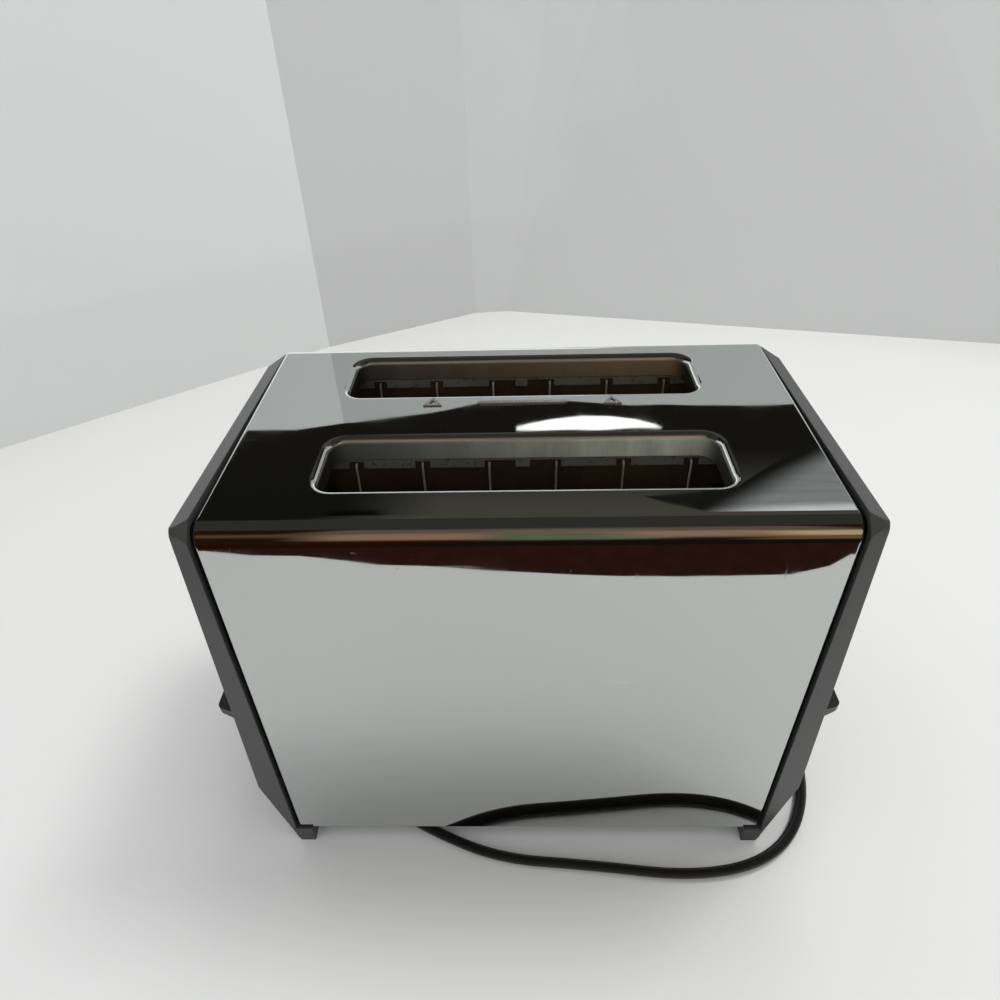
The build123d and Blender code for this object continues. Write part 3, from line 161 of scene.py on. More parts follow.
class Finish:
    """One material, built round a principled shader."""

    MIX_SOCKETS = ("Factor", 6, 7)

    def __init__(self, name, **constants):
        self.material = bpy.data.materials.new(name)
        self.material.use_nodes = True
        self.material.node_tree.nodes.clear()
        output = self.material.node_tree.nodes.new("ShaderNodeOutputMaterial")
        self.shader = self.material.node_tree.nodes.new("ShaderNodeBsdfPrincipled")
        self.material.node_tree.links.new(self.shader.outputs[0], output.inputs["Surface"])
        self.set(**constants)

    def feed(self, socket, value):
        if isinstance(value, Link):
            self.material.node_tree.links.new(value.socket, socket)
        elif socket.type == "RGBA":
            socket.default_value = (*value, 1)
        else:
            socket.default_value = value

    def set(self, **values):
        for name, value in values.items():
            self.feed(self.shader.inputs[name.replace("_", " ")], value)

    def node(self, kind, settings=None, sockets=None, output=0):
        """Any node: its settings first, then the values or links of its sockets."""
        made = self.material.node_tree.nodes.new(kind)
        for name, value in (settings or {}).items():
            setattr(made, name, value)
        for name, value in (sockets or {}).items():
            self.feed(made.inputs[name], value)
        return Link(self, made.outputs[output])

    def place(self, scale=(1, 1, 1)):
        """Where a point lies, in metres, stretched by a scale."""
        here = self.node("ShaderNodeTexCoord", output="Object")
        return self.node("ShaderNodeVectorMath", {"operation": "MULTIPLY"}, {0: here, 1: scale})

    def along(self, axis):
        return self.node("ShaderNodeSeparateXYZ", sockets={"Vector": self.place()}, output=axis)

    def noise(self, size, scale=(1, 1, 1), detail=3.0, rough=0.5):
        """Cloudy noise from 0 to 1 with features about this many metres across."""
        sockets = {"Vector": self.place(scale), "Scale": 1 / size, "Detail": detail, "Roughness": rough}
        return self.node("ShaderNodeTexNoise", None, sockets)

    def mix(self, share, first, second):
        """The first colour where the share is 0, and the second where it is 1."""
        sockets = dict(zip(self.MIX_SOCKETS, (share, first, second)))
        return self.node("ShaderNodeMix", {"data_type": "RGBA"}, sockets, output=2)

    def cells(self, size, scale=(1, 1, 1)):
        """Patches about this many metres across, each with its own value from 0 to 1."""
        sockets = {"Vector": self.place(scale), "Scale": 1 / size}
        color = self.node("ShaderNodeTexVoronoi", None, sockets, output=1)
        return self.node("ShaderNodeSeparateXYZ", sockets={"Vector": color})

    def bump(self, height, depth, edge=0.0):
        """Relief of a real depth in metres, for heights from 0 to 1, and rounded edges."""
        sockets = {"Height": height, "Distance": depth, "Strength": 1.0}
        if edge:
            sockets["Normal"] = self.node("ShaderNodeBevel", {"samples": 4}, {"Radius": edge})
        self.set(Normal=self.node("ShaderNodeBump", None, sockets))


def coat(finish, *nodes):
    """CAD nodes keep their shapes and take a finish."""
    for node in nodes:
        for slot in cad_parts[node].material_slots:
            slot.material = finish.material


def coil_point(turn):
    """Turns inwards on the surface, a climb, then turns outwards on top."""
    inner = COIL_OUTER_RADIUS - COIL_PITCH * COIL_TURNS_IN
    climbed = turn - COIL_TURNS_IN
    share = min(max(climbed / COIL_TURNS_CLIMB, 0), 1)
    radius = COIL_OUTER_RADIUS - COIL_PITCH * turn
    if share == 1:
        radius = inner + COIL_PITCH * (climbed - COIL_TURNS_CLIMB)
    elif share > 0:
        radius = inner - COIL_PITCH * climbed * (1 - share)
    radius /= cos(pi / COIL_POINTS_PER_TURN) ** 2
    height = CORD_Z + COIL_PITCH * (1 - cos(pi * share)) / 2
    angle = tau * turn
    return (COIL_CENTRE[0] + radius * cos(angle), COIL_CENTRE[1] + radius * sin(angle), height)


def smooth_line(name, points):
    """A flexible thing's centre line: one spline with these points as its control points."""
    data = bpy.data.curves.new(name, "CURVE")
    data.dimensions = "3D"
    data.resolution_u = 10
    spline = data.splines.new("NURBS")
    spline.points.add(len(points) - 1)
    for place, point in zip(spline.points, points):
        place.co = (*point, 1)
    spline.order_u = 3
    spline.use_endpoint_u = True
    line = bpy.data.objects.new(name, data)
    scene.collection.objects.link(line)
    bpy.context.view_layer.update()
    mesh = bpy.data.meshes.new_from_object(line.evaluated_get(bpy.context.evaluated_depsgraph_get()))
    followed = [vertex.co.copy() for vertex in mesh.vertices]
    bpy.data.objects.remove(line)
    return followed


def as_object(name, shape, finish, body):
    """A finished bmesh becomes a piece that rides on a body."""
    bmesh.ops.recalc_face_normals(shape, faces=shape.faces)
    mesh = bpy.data.meshes.new(name)
    for face in shape.faces:
        face.smooth = True
    shape.to_mesh(mesh)
    shape.free()
    mesh.materials.append(finish.material)
    piece = bpy.data.objects.new(name, mesh)
    scene.collection.objects.link(piece)
    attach(piece, body)
    return piece


def skin(shape, rings):
    """Joins rings of points into a closed skin."""
    loops = [[shape.verts.new(point) for point in ring] for ring in rings]
    count = len(loops[0])
    for near, far in zip(loops, loops[1:]):
        for i in range(count):
            j = (i + 1) % count
            shape.faces.new((near[i], near[j], far[j], far[i]))
    shape.faces.new(list(reversed(loops[0])))
    shape.faces.new(loops[-1])


cord_points = [Vector(point) for point in CORD_ROUTE]
steps = round(COIL_TURNS * COIL_POINTS_PER_TURN)
cord_points += [Vector(coil_point(step / COIL_POINTS_PER_TURN)) for step in range(1, steps)]
inner_radius = COIL_OUTER_RADIUS - COIL_PITCH * COIL_TURNS_IN
last_radius = inner_radius + COIL_PITCH * (COIL_TURNS - COIL_TURNS_IN - COIL_TURNS_CLIMB)
here = Vector((COIL_CENTRE[0], COIL_CENTRE[1] + last_radius, CORD_Z + COIL_PITCH))
fall = here.z - PLUG_Z
cord_points.append(here)
for (x, y), drop in zip(TAIL_STEPS, TAIL_DROPS):
    here = here + Vector((x, y, -drop * fall))
    cord_points.append(here)
cord_line = smooth_line("cord_line", cord_points)

flex = Finish("cord_cover")
flex.set(
    Base_Color=flex.mix(flex.noise(0.02), (0.0045, 0.0045, 0.0042), (0.011, 0.011, 0.010)),
    Roughness=0.3 + flex.noise(0.004) * 0.2,
)
flex.bump(flex.noise(0.0007, (1, 1, 1), 4), 0.00002)

shape = bmesh.new()
section = []
for core, facing in ((1, 0), (-1, pi)):
    for step in range(CORE_ARC_STEPS + 1):
        angle = facing + CORE_ARC * (step / CORE_ARC_STEPS - 0.5)
        section.append((core * CORE_OFFSET + CORE_RADIUS * cos(angle), CORE_RADIUS * sin(angle)))
rings = []
for index, point in enumerate(cord_line):
    before = cord_line[max(index - 1, 0)]
    after = cord_line[min(index + 1, len(cord_line) - 1)]
    way = (after - before).normalized()
    side = way.cross(Vector((0, 0, 1))).normalized()
    over = side.cross(way).normalized()
    wide = side * cos(CORD_TILT) + over * sin(CORD_TILT)
    thin = over * cos(CORD_TILT) - side * sin(CORD_TILT)
    rings.append([point + wide * a + thin * b for a, b in section])
skin(shape, rings)
cord = as_object("flexible_cord", shape, flex, "frame")
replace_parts(cord, "supply_cord", "supply_cord_coil", "supply_cord_tail")


# Grommet
# A tapered sleeve of the same soft PVC, moulded on the cord where it leaves the base.
SLEEVE_LENGTH = 0.022
SLEEVE_RADII = (0.0043, 0.0034)
SLEEVE_STEPS = 22
SLEEVE_SIDES = 24
SLEEVE_GROOVE = 0.0004
SLEEVE_END_STEPS = 2

shape = bmesh.new()
rings = []
for step in range(SLEEVE_STEPS + 1):
    share = step / SLEEVE_STEPS
    radius = SLEEVE_RADII[0] + (SLEEVE_RADII[1] - SLEEVE_RADII[0]) * share
    if step % 4 in (2, 3) and SLEEVE_END_STEPS < step < SLEEVE_STEPS - SLEEVE_END_STEPS:
        radius -= SLEEVE_GROOVE
    ring = []
    for side in range(SLEEVE_SIDES):
        angle = tau * side / SLEEVE_SIDES
        spot = (SLEEVE_LENGTH * share, radius * cos(angle), radius * sin(angle))
        ring.append(Vector(CORD_EXIT) + Vector(spot))
    rings.append(ring)
skin(shape, rings)
sleeve = as_object("strain_relief_sleeve", shape, flex, "frame")


# Cord tie
# A paper-covered wire twisted round the coil's turns to hold the spare cord together.
TIE_ANGLE = radians(214)
TIE_REACH = (COIL_OUTER_RADIUS - 0.0136, COIL_OUTER_RADIUS + 0.0036)
TIE_TOP = 0.0124
TIE_WIDTH = 0.0042
TIE_STEPS = 40
TIE_LIFT = 0.00015
TIE_LOWEST = 0.00005
TIE_PROFILE = ((0, -0.5), (0.0003, -0.5), (0.0005, -0.2), (0.0005, 0.2), (0.0003, 0.5), (0, 0.5))
TWIST_START = (0.0002, 0.62 * TIE_TOP)
TWIST_LENGTH = (0.0005, 0.010)
TWIST_RISE = 0.0012
TWIST_TURNS = 2.4
TWIST_STEPS = 16
TWIST_RADIUS = 0.0005
TWIST_SIDES = 8

paper = Finish("cord_tie", Roughness=0.6)
paper.set(Base_Color=paper.mix(paper.noise(0.002), (0.012, 0.012, 0.012), (0.035, 0.034, 0.032)))
paper.bump(paper.noise(0.0005, (1, 1, 4)), 0.00006)

outward = Vector((cos(TIE_ANGLE), sin(TIE_ANGLE), 0))
sideways = Vector((-sin(TIE_ANGLE), cos(TIE_ANGLE), 0))
upward = Vector((0, 0, 1))
middle = Vector((*COIL_CENTRE, 0)) + outward * sum(TIE_REACH) / 2
reach = (TIE_REACH[1] - TIE_REACH[0]) / 2
shape = bmesh.new()
loops = []
for step in range(TIE_STEPS):
    turn = (cos(tau * step / TIE_STEPS), sin(tau * step / TIE_STEPS))
    out, rise = [abs(part) ** 0.5 * (1 if part >= 0 else -1) for part in turn]
    ring = []
    for grow, slide in TIE_PROFILE:
        height = TIE_TOP / 2 + (TIE_TOP / 2 - TIE_LIFT) * rise * (1 + grow / TIE_TOP)
        spot = middle + outward * out * (reach + grow) + sideways * slide * TIE_WIDTH
        ring.append(shape.verts.new(spot + upward * max(height, TIE_LOWEST)))
    loops.append(ring)
for near, far in zip(loops, loops[1:] + loops[:1]):
    for i in range(len(near)):
        j = (i + 1) % len(near)
        shape.faces.new((near[i], near[j], far[j], far[i]))
twist_start = middle + outward * (reach + TWIST_START[0]) + upward * TWIST_START[1]
for turn in (1, -1):
    rings = []
    for step in range(TWIST_STEPS + 1):
        share = step / TWIST_STEPS
        wind = turn * share * TWIST_TURNS * tau
        length = TWIST_LENGTH[0] + (TWIST_LENGTH[1] - TWIST_LENGTH[0]) * share
        centre = twist_start + outward * length + upward * TWIST_RISE * share
        centre += (sideways * cos(wind) + upward * sin(wind)) * TWIST_RADIUS
        angles = [tau * side / TWIST_SIDES for side in range(TWIST_SIDES)]
        rings.append([centre + (sideways * cos(a) + upward * sin(a)) * TWIST_RADIUS for a in angles])
    skin(shape, rings)
tie = as_object("cord_tie", shape, paper, "frame")


# Plug
# A flat moulded plug of the same black PVC, with finger grooves on its tail and two
# folded brass blades, nickel plated.
GROOVE_PITCH = 0.0022

plug = Finish("plug_moulding")
plug.set(
    Base_Color=plug.mix(plug.noise(0.006), (0.008, 0.008, 0.0075), (0.02, 0.02, 0.019)),
    Roughness=0.38 + plug.noise(0.002) * 0.2,
)
plug.bump(plug.along(0).wave(GROOVE_PITCH) * 0.8 + plug.noise(0.0006) * 0.2, 0.00015, 0.0006)
coat(plug, "plug_body", "strain_relief")
blade = Finish("plug_blades", Metallic=1.0)
blade.set(
    Base_Color=blade.mix(blade.noise(0.004), (0.55, 0.5, 0.4), (0.74, 0.72, 0.68)),
    Roughness=0.16 + blade.noise(0.0008, (0.05, 1, 1)) * 0.2,
)
blade.bump(blade.noise(0.0003, (0.05, 1, 1)), 0.00001, 0.0003)
coat(blade, "plug_blades")


# Base plate
# A pressed and zinc-coated steel sheet with vents, a crumb opening and rolled hinge
# knuckles, seated on the shell's return flange. It dulls and browns over the wells.
def sheet_steel(name, grain, roughness=None, tones=None, edge=0.0003):
    """Rolled sheet: brushed one way, with cloudy patches, fine pits and soft edges."""
    finish = Finish(name, Metallic=0.7)
    brushed = finish.noise(0.0008, grain, 2)
    cloudy = finish.noise(0.03, (1, 1, 1), 4)
    if tones:
        finish.set(Base_Color=finish.mix((cloudy * 0.7 + brushed * 0.3).above(0.5, 0.22), *tones))
    if roughness:
        finish.set(Roughness=roughness - 0.08 + brushed * 0.1 + cloudy * 0.12)
    finish.bump(brushed * 0.6 + finish.noise(0.0015) * 0.4, 0.00002, edge)
    return finish


base = sheet_steel("base_plate", (0.03, 1, 1), 0.36)
zinc = base.cells(0.007)
heated = base.noise(0.045, (1, 1, 1), 5).above(0.56, 0.08)
bare = base.mix(zinc, (0.34, 0.34, 0.33), (0.56, 0.56, 0.54))
base.set(Base_Color=base.mix(heated * 0.6, bare, (0.16, 0.10, 0.055)))
coat(base, "base_plate")


# Crumb door
# A hinged tray of the same sheet, with a turned-up rim, a wire hinge pin and a spring
# stud that snaps it shut. Old crumbs have scorched it.
door = sheet_steel("crumb_door", (0.03, 1, 1))
scorch = door.noise(0.03, (1, 1, 1), 6).above(0.52, 0.1)
crumbs = door.noise(0.0022, (1, 1, 1), 5).above(0.66, 0.02)
bare = door.mix(door.cells(0.006), (0.3, 0.29, 0.27), (0.5, 0.49, 0.46))
browned = door.mix(scorch * 0.75, bare, (0.1, 0.06, 0.03))
door.set(
    Base_Color=door.mix(crumbs, browned, (0.05, 0.026, 0.012)),
    Roughness=0.34 + scorch * 0.25 + crumbs * 0.3,
    Metallic=1 - crumbs,
)
coat(door, "crumb_door")
stud = sheet_steel("snap_stud", (1, 1, 0.05), 0.25, ((0.38, 0.37, 0.35), (0.62, 0.61, 0.58)))
coat(stud, "crumb_door_stud")
pin = sheet_steel("hinge_pin", (0.02, 1, 1), 0.22, ((0.3, 0.3, 0.29), (0.6, 0.6, 0.58)))
coat(pin, "crumb_door_pin")


# Inner end plates
# Folded galvanised plates that stand on the base, carry the cards' ears and take the end
# panels' screws in their flanges.
plates = sheet_steel("end_plates", (1, 0.05, 1))
spangle = plates.cells(0.005)
soot = plates.along(2).above(0.15, 0.04) * plates.noise(0.02, (1, 1, 1), 5).above(0.4, 0.2)
bare = plates.mix(spangle, (0.27, 0.27, 0.25), (0.46, 0.46, 0.43))
plates.set(
    Base_Color=plates.mix(soot * 0.7, bare, (0.09, 0.07, 0.05)),
    Roughness=0.3 + spangle * 0.12 + soot * 0.2,
)
coat(plates, "left_end_plate", "right_end_plate")


# Heating cards
# Split mica sheet, four of them, one to each side of a slot. Mica is layered flakes in a
# binder, mottled brown, and darker near the ribbon.
mica = Finish("mica")
flake = mica.cells(0.009, (1, 1, 0.6))
mottled = mica.noise(0.012, (1, 1, 1), 6, 0.65)
baked = mica.along(2).between(0.045, 0.162, 0.012)
sheet = mica.mix(flake * 0.5 + mottled * 0.5, (0.024, 0.014, 0.006), (0.062, 0.038, 0.018))
mica.set(
    Base_Color=mica.mix(baked * 0.5, sheet, (0.014, 0.008, 0.004)),
    Roughness=0.3 + mottled * 0.3,
)
mica.bump(flake * 0.6 + mica.noise(0.0008, (1, 1, 1), 4) * 0.4, 0.00005)
cards = [f"{side}_{place}" for side in ("front", "rear") for place in ("outer", "inner")]
coat(mica, *[card + "_heating_card" for card in cards])


# Heating ribbons
# Flat nickel-chrome ribbon wound round each card, blue-grey and brown from its own heat.
ribbon = Finish("heating_ribbon", Metallic=0.9)
oxide = ribbon.noise(0.009, (1, 1, 1), 4)
ribbon.set(
    Base_Color=ribbon.mix(oxide.above(0.5, 0.2), (0.10, 0.11, 0.13), (0.25, 0.19, 0.13)),
    Roughness=0.42 + ribbon.noise(0.001, (0.05, 1, 1)) * 0.25,
)
ribbon.bump(ribbon.noise(0.0006, (0.1, 1, 1)), 0.00002)
coat(ribbon, *[card + "_heating_ribbon" for card in cards])


# Card strips
# Notched steel strips that cap the cards and hook the guard wires. Heat and crumbs have
# dulled them, with brown specks along their lower edges.
strips = sheet_steel("card_strips", (0.03, 1, 1), edge=0.0002)
specks = strips.noise(0.002, (1, 1, 1), 6, 0.7).above(0.6, 0.05) * 0.7
dulled = strips.mix(strips.noise(0.014, (1, 1, 1), 5), (0.13, 0.12, 0.095), (0.25, 0.235, 0.19))
strips.set(
    Base_Color=strips.mix(specks, dulled, (0.04, 0.025, 0.014)),
    Roughness=0.36 + specks * 0.3,
    Metallic=0.35,
)
coat(strips, *[card + "_card_strip" for card in cards])


# Guard wires and rails
# Drawn steel wires, six to a card, that keep the bread off the ribbon. They hook over the
# strips and end in flat rails near the base.
WIRE_X = (0.0122, 0.0366, 0.0610)
WIRE_RADIUS = 0.00042
WIRE_SIDES = 10
HOOK_DROP = 0.0016
HOOK_RADIUS = 0.0012
HOOK_TURNS = (0.4, 0.8, 1.2, pi / 2)

wires = Finish("guard_wires", Metallic=0.45)
tarnish = wires.noise(0.016, (1, 1, 1), 4)
wires.set(
    Base_Color=wires.mix(tarnish.above(0.48, 0.2), (0.30, 0.24, 0.16), (0.52, 0.48, 0.38)),
    Roughness=0.28 + tarnish * 0.2,
)
wires.bump(wires.noise(0.0005, (1, 1, 0.05)), 0.00001)
for card in cards:
    low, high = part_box(card + "_guard_wires")
    faces_back = card in ("front_outer", "rear_inner")
    lean = -1 if faces_back else 1
    line_y = high[1] - WIRE_RADIUS * 2 if faces_back else low[1] + WIRE_RADIUS * 2
    hook_y = low[1] + WIRE_RADIUS if faces_back else high[1] - WIRE_RADIUS
    hook_z = high[2] - WIRE_RADIUS - HOOK_DROP
    stations = [(line_y, low[2], 0), (line_y, hook_z, 0)]
    for turn in HOOK_TURNS:
        bent_y = line_y + lean * HOOK_RADIUS * (1 - cos(turn))
        stations.append((bent_y, hook_z + HOOK_RADIUS * sin(turn), turn))
    stations.append((hook_y, hook_z + HOOK_RADIUS, pi / 2))
    shape = bmesh.new()
    for wire_x in WIRE_X:
        for x in (wire_x, -wire_x):
            rings = []
            for y, z, turn in stations:
                ring = []
                for side in range(WIRE_SIDES):
                    angle = tau * side / WIRE_SIDES
                    across, along = WIRE_RADIUS * cos(angle), WIRE_RADIUS * sin(angle)
                    ring.append(Vector((x + across, y + along * cos(turn), z - lean * along * sin(turn))))
                rings.append(ring)
            skin(shape, rings)
    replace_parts(as_object(card + "_wires", shape, wires, "frame"), card + "_guard_wires")
rails = sheet_steel("guard_rails", (0.03, 1, 1), 0.4, ((0.24, 0.22, 0.18), (0.45, 0.43, 0.38)))
coat(rails, "guard_rails")


# Bus strips
# Thin sprung strips that join the cards' ears at the left and carry the current.
bus = sheet_steel("bus_strips", (1, 0.03, 1), 0.32, ((0.30, 0.26, 0.2), (0.52, 0.47, 0.38)))
coat(bus, "bus_strips")


# Reflector sheets
# Bright aluminised sheets in front of and behind the outer cards, which throw the heat
# back at the bread and keep it off the shell.
reflector = sheet_steel("reflectors", (0.03, 1, 1), 0.2)
hot = reflector.along(2).between(0.05, 0.16, 0.02) * reflector.noise(0.03).above(0.45, 0.15)
reflector.set(Base_Color=reflector.mix(hot * 0.5, (0.68, 0.68, 0.67), (0.42, 0.36, 0.24)))
coat(reflector, "front_baffle", "rear_baffle")


# Bread carriage
# Two comb-like racks, joined at the left by a link and at the right by a crossbar that
# slides on the guide rod. All are bright zinc-plated sheet, browned where they hold bread.
racks = sheet_steel("bread_racks", (0.04, 1, 1), 0.36)
toasted = racks.noise(0.01, (1, 1, 1), 5).above(0.5, 0.12)
racks.set(Base_Color=racks.mix(toasted * 0.65, (0.5, 0.48, 0.44), (0.16, 0.1, 0.05)))
coat(racks, "front_bread_rack", "rear_bread_rack")
slide = sheet_steel("carriage_slide", (1, 1, 0.04), 0.28)
slide.set(Base_Color=slide.mix(slide.cells(0.004), (0.5, 0.5, 0.47), (0.64, 0.64, 0.61)))
coat(slide, "carriage_slide", "left_rack_link")


rod = Finish("guide_rod", Metallic=1.0)
grease = rod.noise(0.006, (1, 1, 1), 4).above(0.5, 0.15)
rod.set(Base_Color=rod.mix(grease * 0.5, (0.62, 0.62, 0.6), (0.3, 0.24, 0.14)))
rod.set(Roughness=0.12 + grease * 0.2 + rod.noise(0.0006, (1, 1, 40)) * 0.08)
rod.bump(rod.noise(0.0006, (1, 1, 40)), 0.000005, 0.0003)
coat(rod, "guide_rod")
bracket = sheet_steel("rod_bracket", (1, 0.04, 1), 0.34, ((0.34, 0.33, 0.3), (0.56, 0.56, 0.53)))
coat(bracket, "rod_bracket")
spring = Finish("lift_spring", Metallic=1.0)
spring.set(
    Base_Color=spring.mix(spring.noise(0.003), (0.34, 0.3, 0.24), (0.56, 0.53, 0.48)),
    Roughness=0.18 + spring.noise(0.001, (1, 1, 6)) * 0.2,
)
spring.bump(spring.noise(0.0004, (1, 1, 8)), 0.00001)
low, high = [Vector(corner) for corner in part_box("lift_spring")]
shape = bmesh.new()
shape.from_mesh(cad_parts["lift_spring"].data)
bmesh.ops.remove_doubles(shape, verts=shape.verts, dist=1e-6)
coil = as_object("lift_coil", shape, spring, "frame")
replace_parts(coil, "lift_spring")
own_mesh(coil)


# Browning control
# A turned shaft and cam in a folded bracket push on the bimetal blade, whose foot is
# riveted to the base.
turned = Finish("browning_shaft", Metallic=1.0)
turned.set(
    Base_Color=turned.mix(turned.noise(0.004), (0.44, 0.44, 0.42), (0.62, 0.62, 0.6)),
    Roughness=0.15 + turned.noise(0.0004, (30, 1, 1)) * 0.2,
)
turned.bump(turned.noise(0.0004, (30, 1, 1)), 0.00001, 0.0003)
coat(turned, "browning_shaft")
fold = sheet_steel("control_bracket", (1, 1, 0.04), 0.33, ((0.33, 0.32, 0.3), (0.55, 0.55, 0.52)))
coat(fold, "control_bracket", "thermostat_foot")
bimetal = Finish("bimetal_blade", Metallic=1.0)
bimetal.set(
    Base_Color=bimetal.mix(bimetal.along(2).above(0.06, 0.03), (0.52, 0.5, 0.46), (0.5, 0.36, 0.2)),
    Roughness=0.22 + bimetal.noise(0.001, (1, 1, 0.04)) * 0.2,
)
bimetal.bump(bimetal.noise(0.0008, (1, 1, 0.04)), 0.00001, 0.0002)
coat(bimetal, "bimetal_strip")


# Latch
# A stamped lever on a shouldered pin, which hooks the crossbar while the bread toasts.
latch = sheet_steel("latch_lever", (1, 0.05, 1), 0.3, ((0.38, 0.37, 0.33), (0.6, 0.59, 0.55)))
coat(latch, "latch_lever")
shoulder = sheet_steel("latch_pin", (0.05, 1, 1), 0.22, ((0.4, 0.4, 0.38), (0.62, 0.62, 0.6)))
coat(shoulder, "latch_pin")


# Switch
# Brown phenolic blocks with sprung brass leaves. The bar on the carriage presses the
# leaves together when the lever is down.
phenolic = Finish("brown_moulding")
speckle = phenolic.noise(0.0012, (1, 1, 1), 5, 0.7)
phenolic.set(
    Base_Color=phenolic.mix(speckle.above(0.5, 0.1), (0.04, 0.018, 0.009), (0.085, 0.045, 0.024)),
    Roughness=0.24 + phenolic.noise(0.005) * 0.2,
)
phenolic.bump(speckle, 0.00001, 0.0005)
coat(phenolic, "switch_block", "contact_bridge", "terminal_block")
brass = Finish("brass", Metallic=1.0)
brass.set(
    Base_Color=brass.mix(brass.noise(0.005, (1, 1, 1), 4), (0.44, 0.3, 0.12), (0.7, 0.56, 0.28)),
    Roughness=0.2 + brass.noise(0.001) * 0.15,
)
brass.bump(brass.noise(0.0006), 0.00001, 0.0002)
coat(brass, "switch_contacts")


# Terminal block and leads
# The cord's two cores end under brass screws in a phenolic block, and short black leads
# in heat-proof sleeves go on to the switch.
screw_brass = Finish("terminal_screws", Metallic=1.0)
screw_brass.set(
    Base_Color=screw_brass.mix(screw_brass.noise(0.002), (0.5, 0.36, 0.15), (0.72, 0.6, 0.32)),
    Roughness=0.16 + screw_brass.noise(0.0006) * 0.2,
)
screw_brass.bump(screw_brass.noise(0.0005), 0.00001, 0.0003)
coat(screw_brass, "terminal_screws")
sleeve_cloth = Finish("supply_leads", Roughness=0.7)
braid = sleeve_cloth.noise(0.0005, (1, 1, 3), 2)
sleeve_cloth.set(Base_Color=sleeve_cloth.mix(braid, (0.012, 0.012, 0.012), (0.06, 0.058, 0.052)))
sleeve_cloth.bump(braid, 0.00008)
coat(sleeve_cloth, "supply_leads")


# Body shell
# One wrapped steel sheet, pressed, then plated with polished chrome. Its ends are rolled
# in, and the metal round each bread slot is turned down and tinted by the heat. These lip
# walls also carry painted light: pale on the right, dark on the left and nearly black at the
# slot ends, as painted shade.
SLOT_MIDDLES = (-0.0272, 0.0334)
LIP_HALF_WIDTH = 0.0168
LIP_HALF_LENGTH = 0.071
LIP_START_Z = 0.1812
MARK_Z = 0.1831
SCUFF_X = (0.022, 0.037)
SCUFF_Z = (0.1095, 0.1125)
SCRAPE_X = (0.039, 0.050)
SCRAPE_Z = (0.071, 0.073)

chrome = Finish("chrome")
x, y, z = [chrome.along(axis) for axis in range(3)]
in_slot = (y - SLOT_MIDDLES[0]).absolute().between(-1, LIP_HALF_WIDTH, 0.0002)
in_slot = in_slot + (y - SLOT_MIDDLES[1]).absolute().between(-1, LIP_HALF_WIDTH, 0.0002)
walls = in_slot * x.absolute().between(-1, LIP_HALF_LENGTH, 0.0002) * (1 - z.above(LIP_START_Z, 0.0008))
drawn = chrome.noise(0.0012, (1, 1, 0.05), 4)
smoky = chrome.noise(0.012, (1, 1, 0.5), 5)
# Painted light on the lip walls: dark at the left and pale grey-green at the right, with an amber heat tint
# in the rear slot.
lip_tint_and_painted_light = chrome.mix(x.above(0.0, 0.07), (0.12, 0.125, 0.10), (0.78, 0.80, 0.64))
amber = chrome.mix(x.above(0.0, 0.07), (0.075, 0.065, 0.05), (0.27, 0.165, 0.075))
lip_tint_and_painted_light = chrome.mix(y.above(0.003, 0.001), lip_tint_and_painted_light, amber)
lip_tint_and_painted_light = chrome.mix(smoky.above(0.5, 0.15) * 0.35, lip_tint_and_painted_light, (0.16, 0.15, 0.12))
lip_tint_and_painted_light = chrome.mix(drawn.above(0.55, 0.15) * 0.12, lip_tint_and_painted_light, (0.11, 0.10, 0.08))
# Painted shade: the walls turn nearly black towards the slot ends.
lip_tint_and_painted_light = chrome.mix(x.absolute().above(0.0655, 0.004), lip_tint_and_painted_light, (0.008, 0.008, 0.007))
smudge = chrome.noise(0.03, (1, 1, 1), 5, 0.6).above(0.56, 0.14)
hairline = chrome.noise(0.0011, (1, 0.06, 0.05), 2).above(0.72, 0.02)
cross_line = chrome.noise(0.0011, (0.03, 1, 0.6), 2).above(0.725, 0.02)
dust = chrome.noise(0.0016, (1, 1, 1), 3).above(0.745, 0.02)
scuff = chrome.noise(0.004, (0.3, 1, 1.6), 5, 0.7).above(0.56, 0.04) * (1 - y.above(-0.05, 0.001))
in_scuff = x.between(*SCUFF_X, 0.002) * z.between(*SCUFF_Z, 0.0008)
in_scrape = x.between(*SCRAPE_X, 0.002) * z.between(*SCRAPE_Z, 0.0006)
scuff = scuff * (in_scuff + in_scrape)
plating = chrome.mix(dust * 0.25 + scuff * 0.6, (0.53, 0.55, 0.54), (0.62, 0.62, 0.6))
scratched = (hairline + cross_line) * 0.03 + (dust + scuff) * 0.08
unpolished = walls * (0.2 + drawn * 0.2) + z.above(MARK_Z, 0.00005) * 0.25
chrome.set(
    Base_Color=chrome.mix(walls, plating, lip_tint_and_painted_light),
    Roughness=0.018 + smudge * 0.022 + scratched + unpolished,
    Metallic=1 - walls * 0.72,
)
chrome.bump(chrome.noise(0.045, (1, 1, 1), 1) * 0.9 + walls * drawn * 0.02, 0.00009)
coat(chrome, "chrome_shell")


# End panels
# Black phenolic mouldings, satin from a fine sand-blasted die, with a bevelled rim round a
# sunken face. Screws through their bosses hold them to the inner end plates.
panel = Finish("black_moulding")
pebble = panel.noise(0.0005, (1, 1, 1), 3)
worn = panel.noise(0.018, (1, 1, 1), 5, 0.6)
lint = panel.noise(0.0014, (1, 1, 1), 3).above(0.74, 0.02)
resin = panel.mix(worn, (0.032, 0.033, 0.032), (0.055, 0.056, 0.054))
panel.set(
    Base_Color=panel.mix(lint * 0.4, resin, (0.2, 0.2, 0.19)),
    Roughness=0.32 + worn * 0.16 + pebble * 0.06,
)
panel.bump(pebble, 0.000012, 0.0005)
coat(panel, "left_end_panel", "right_end_panel")


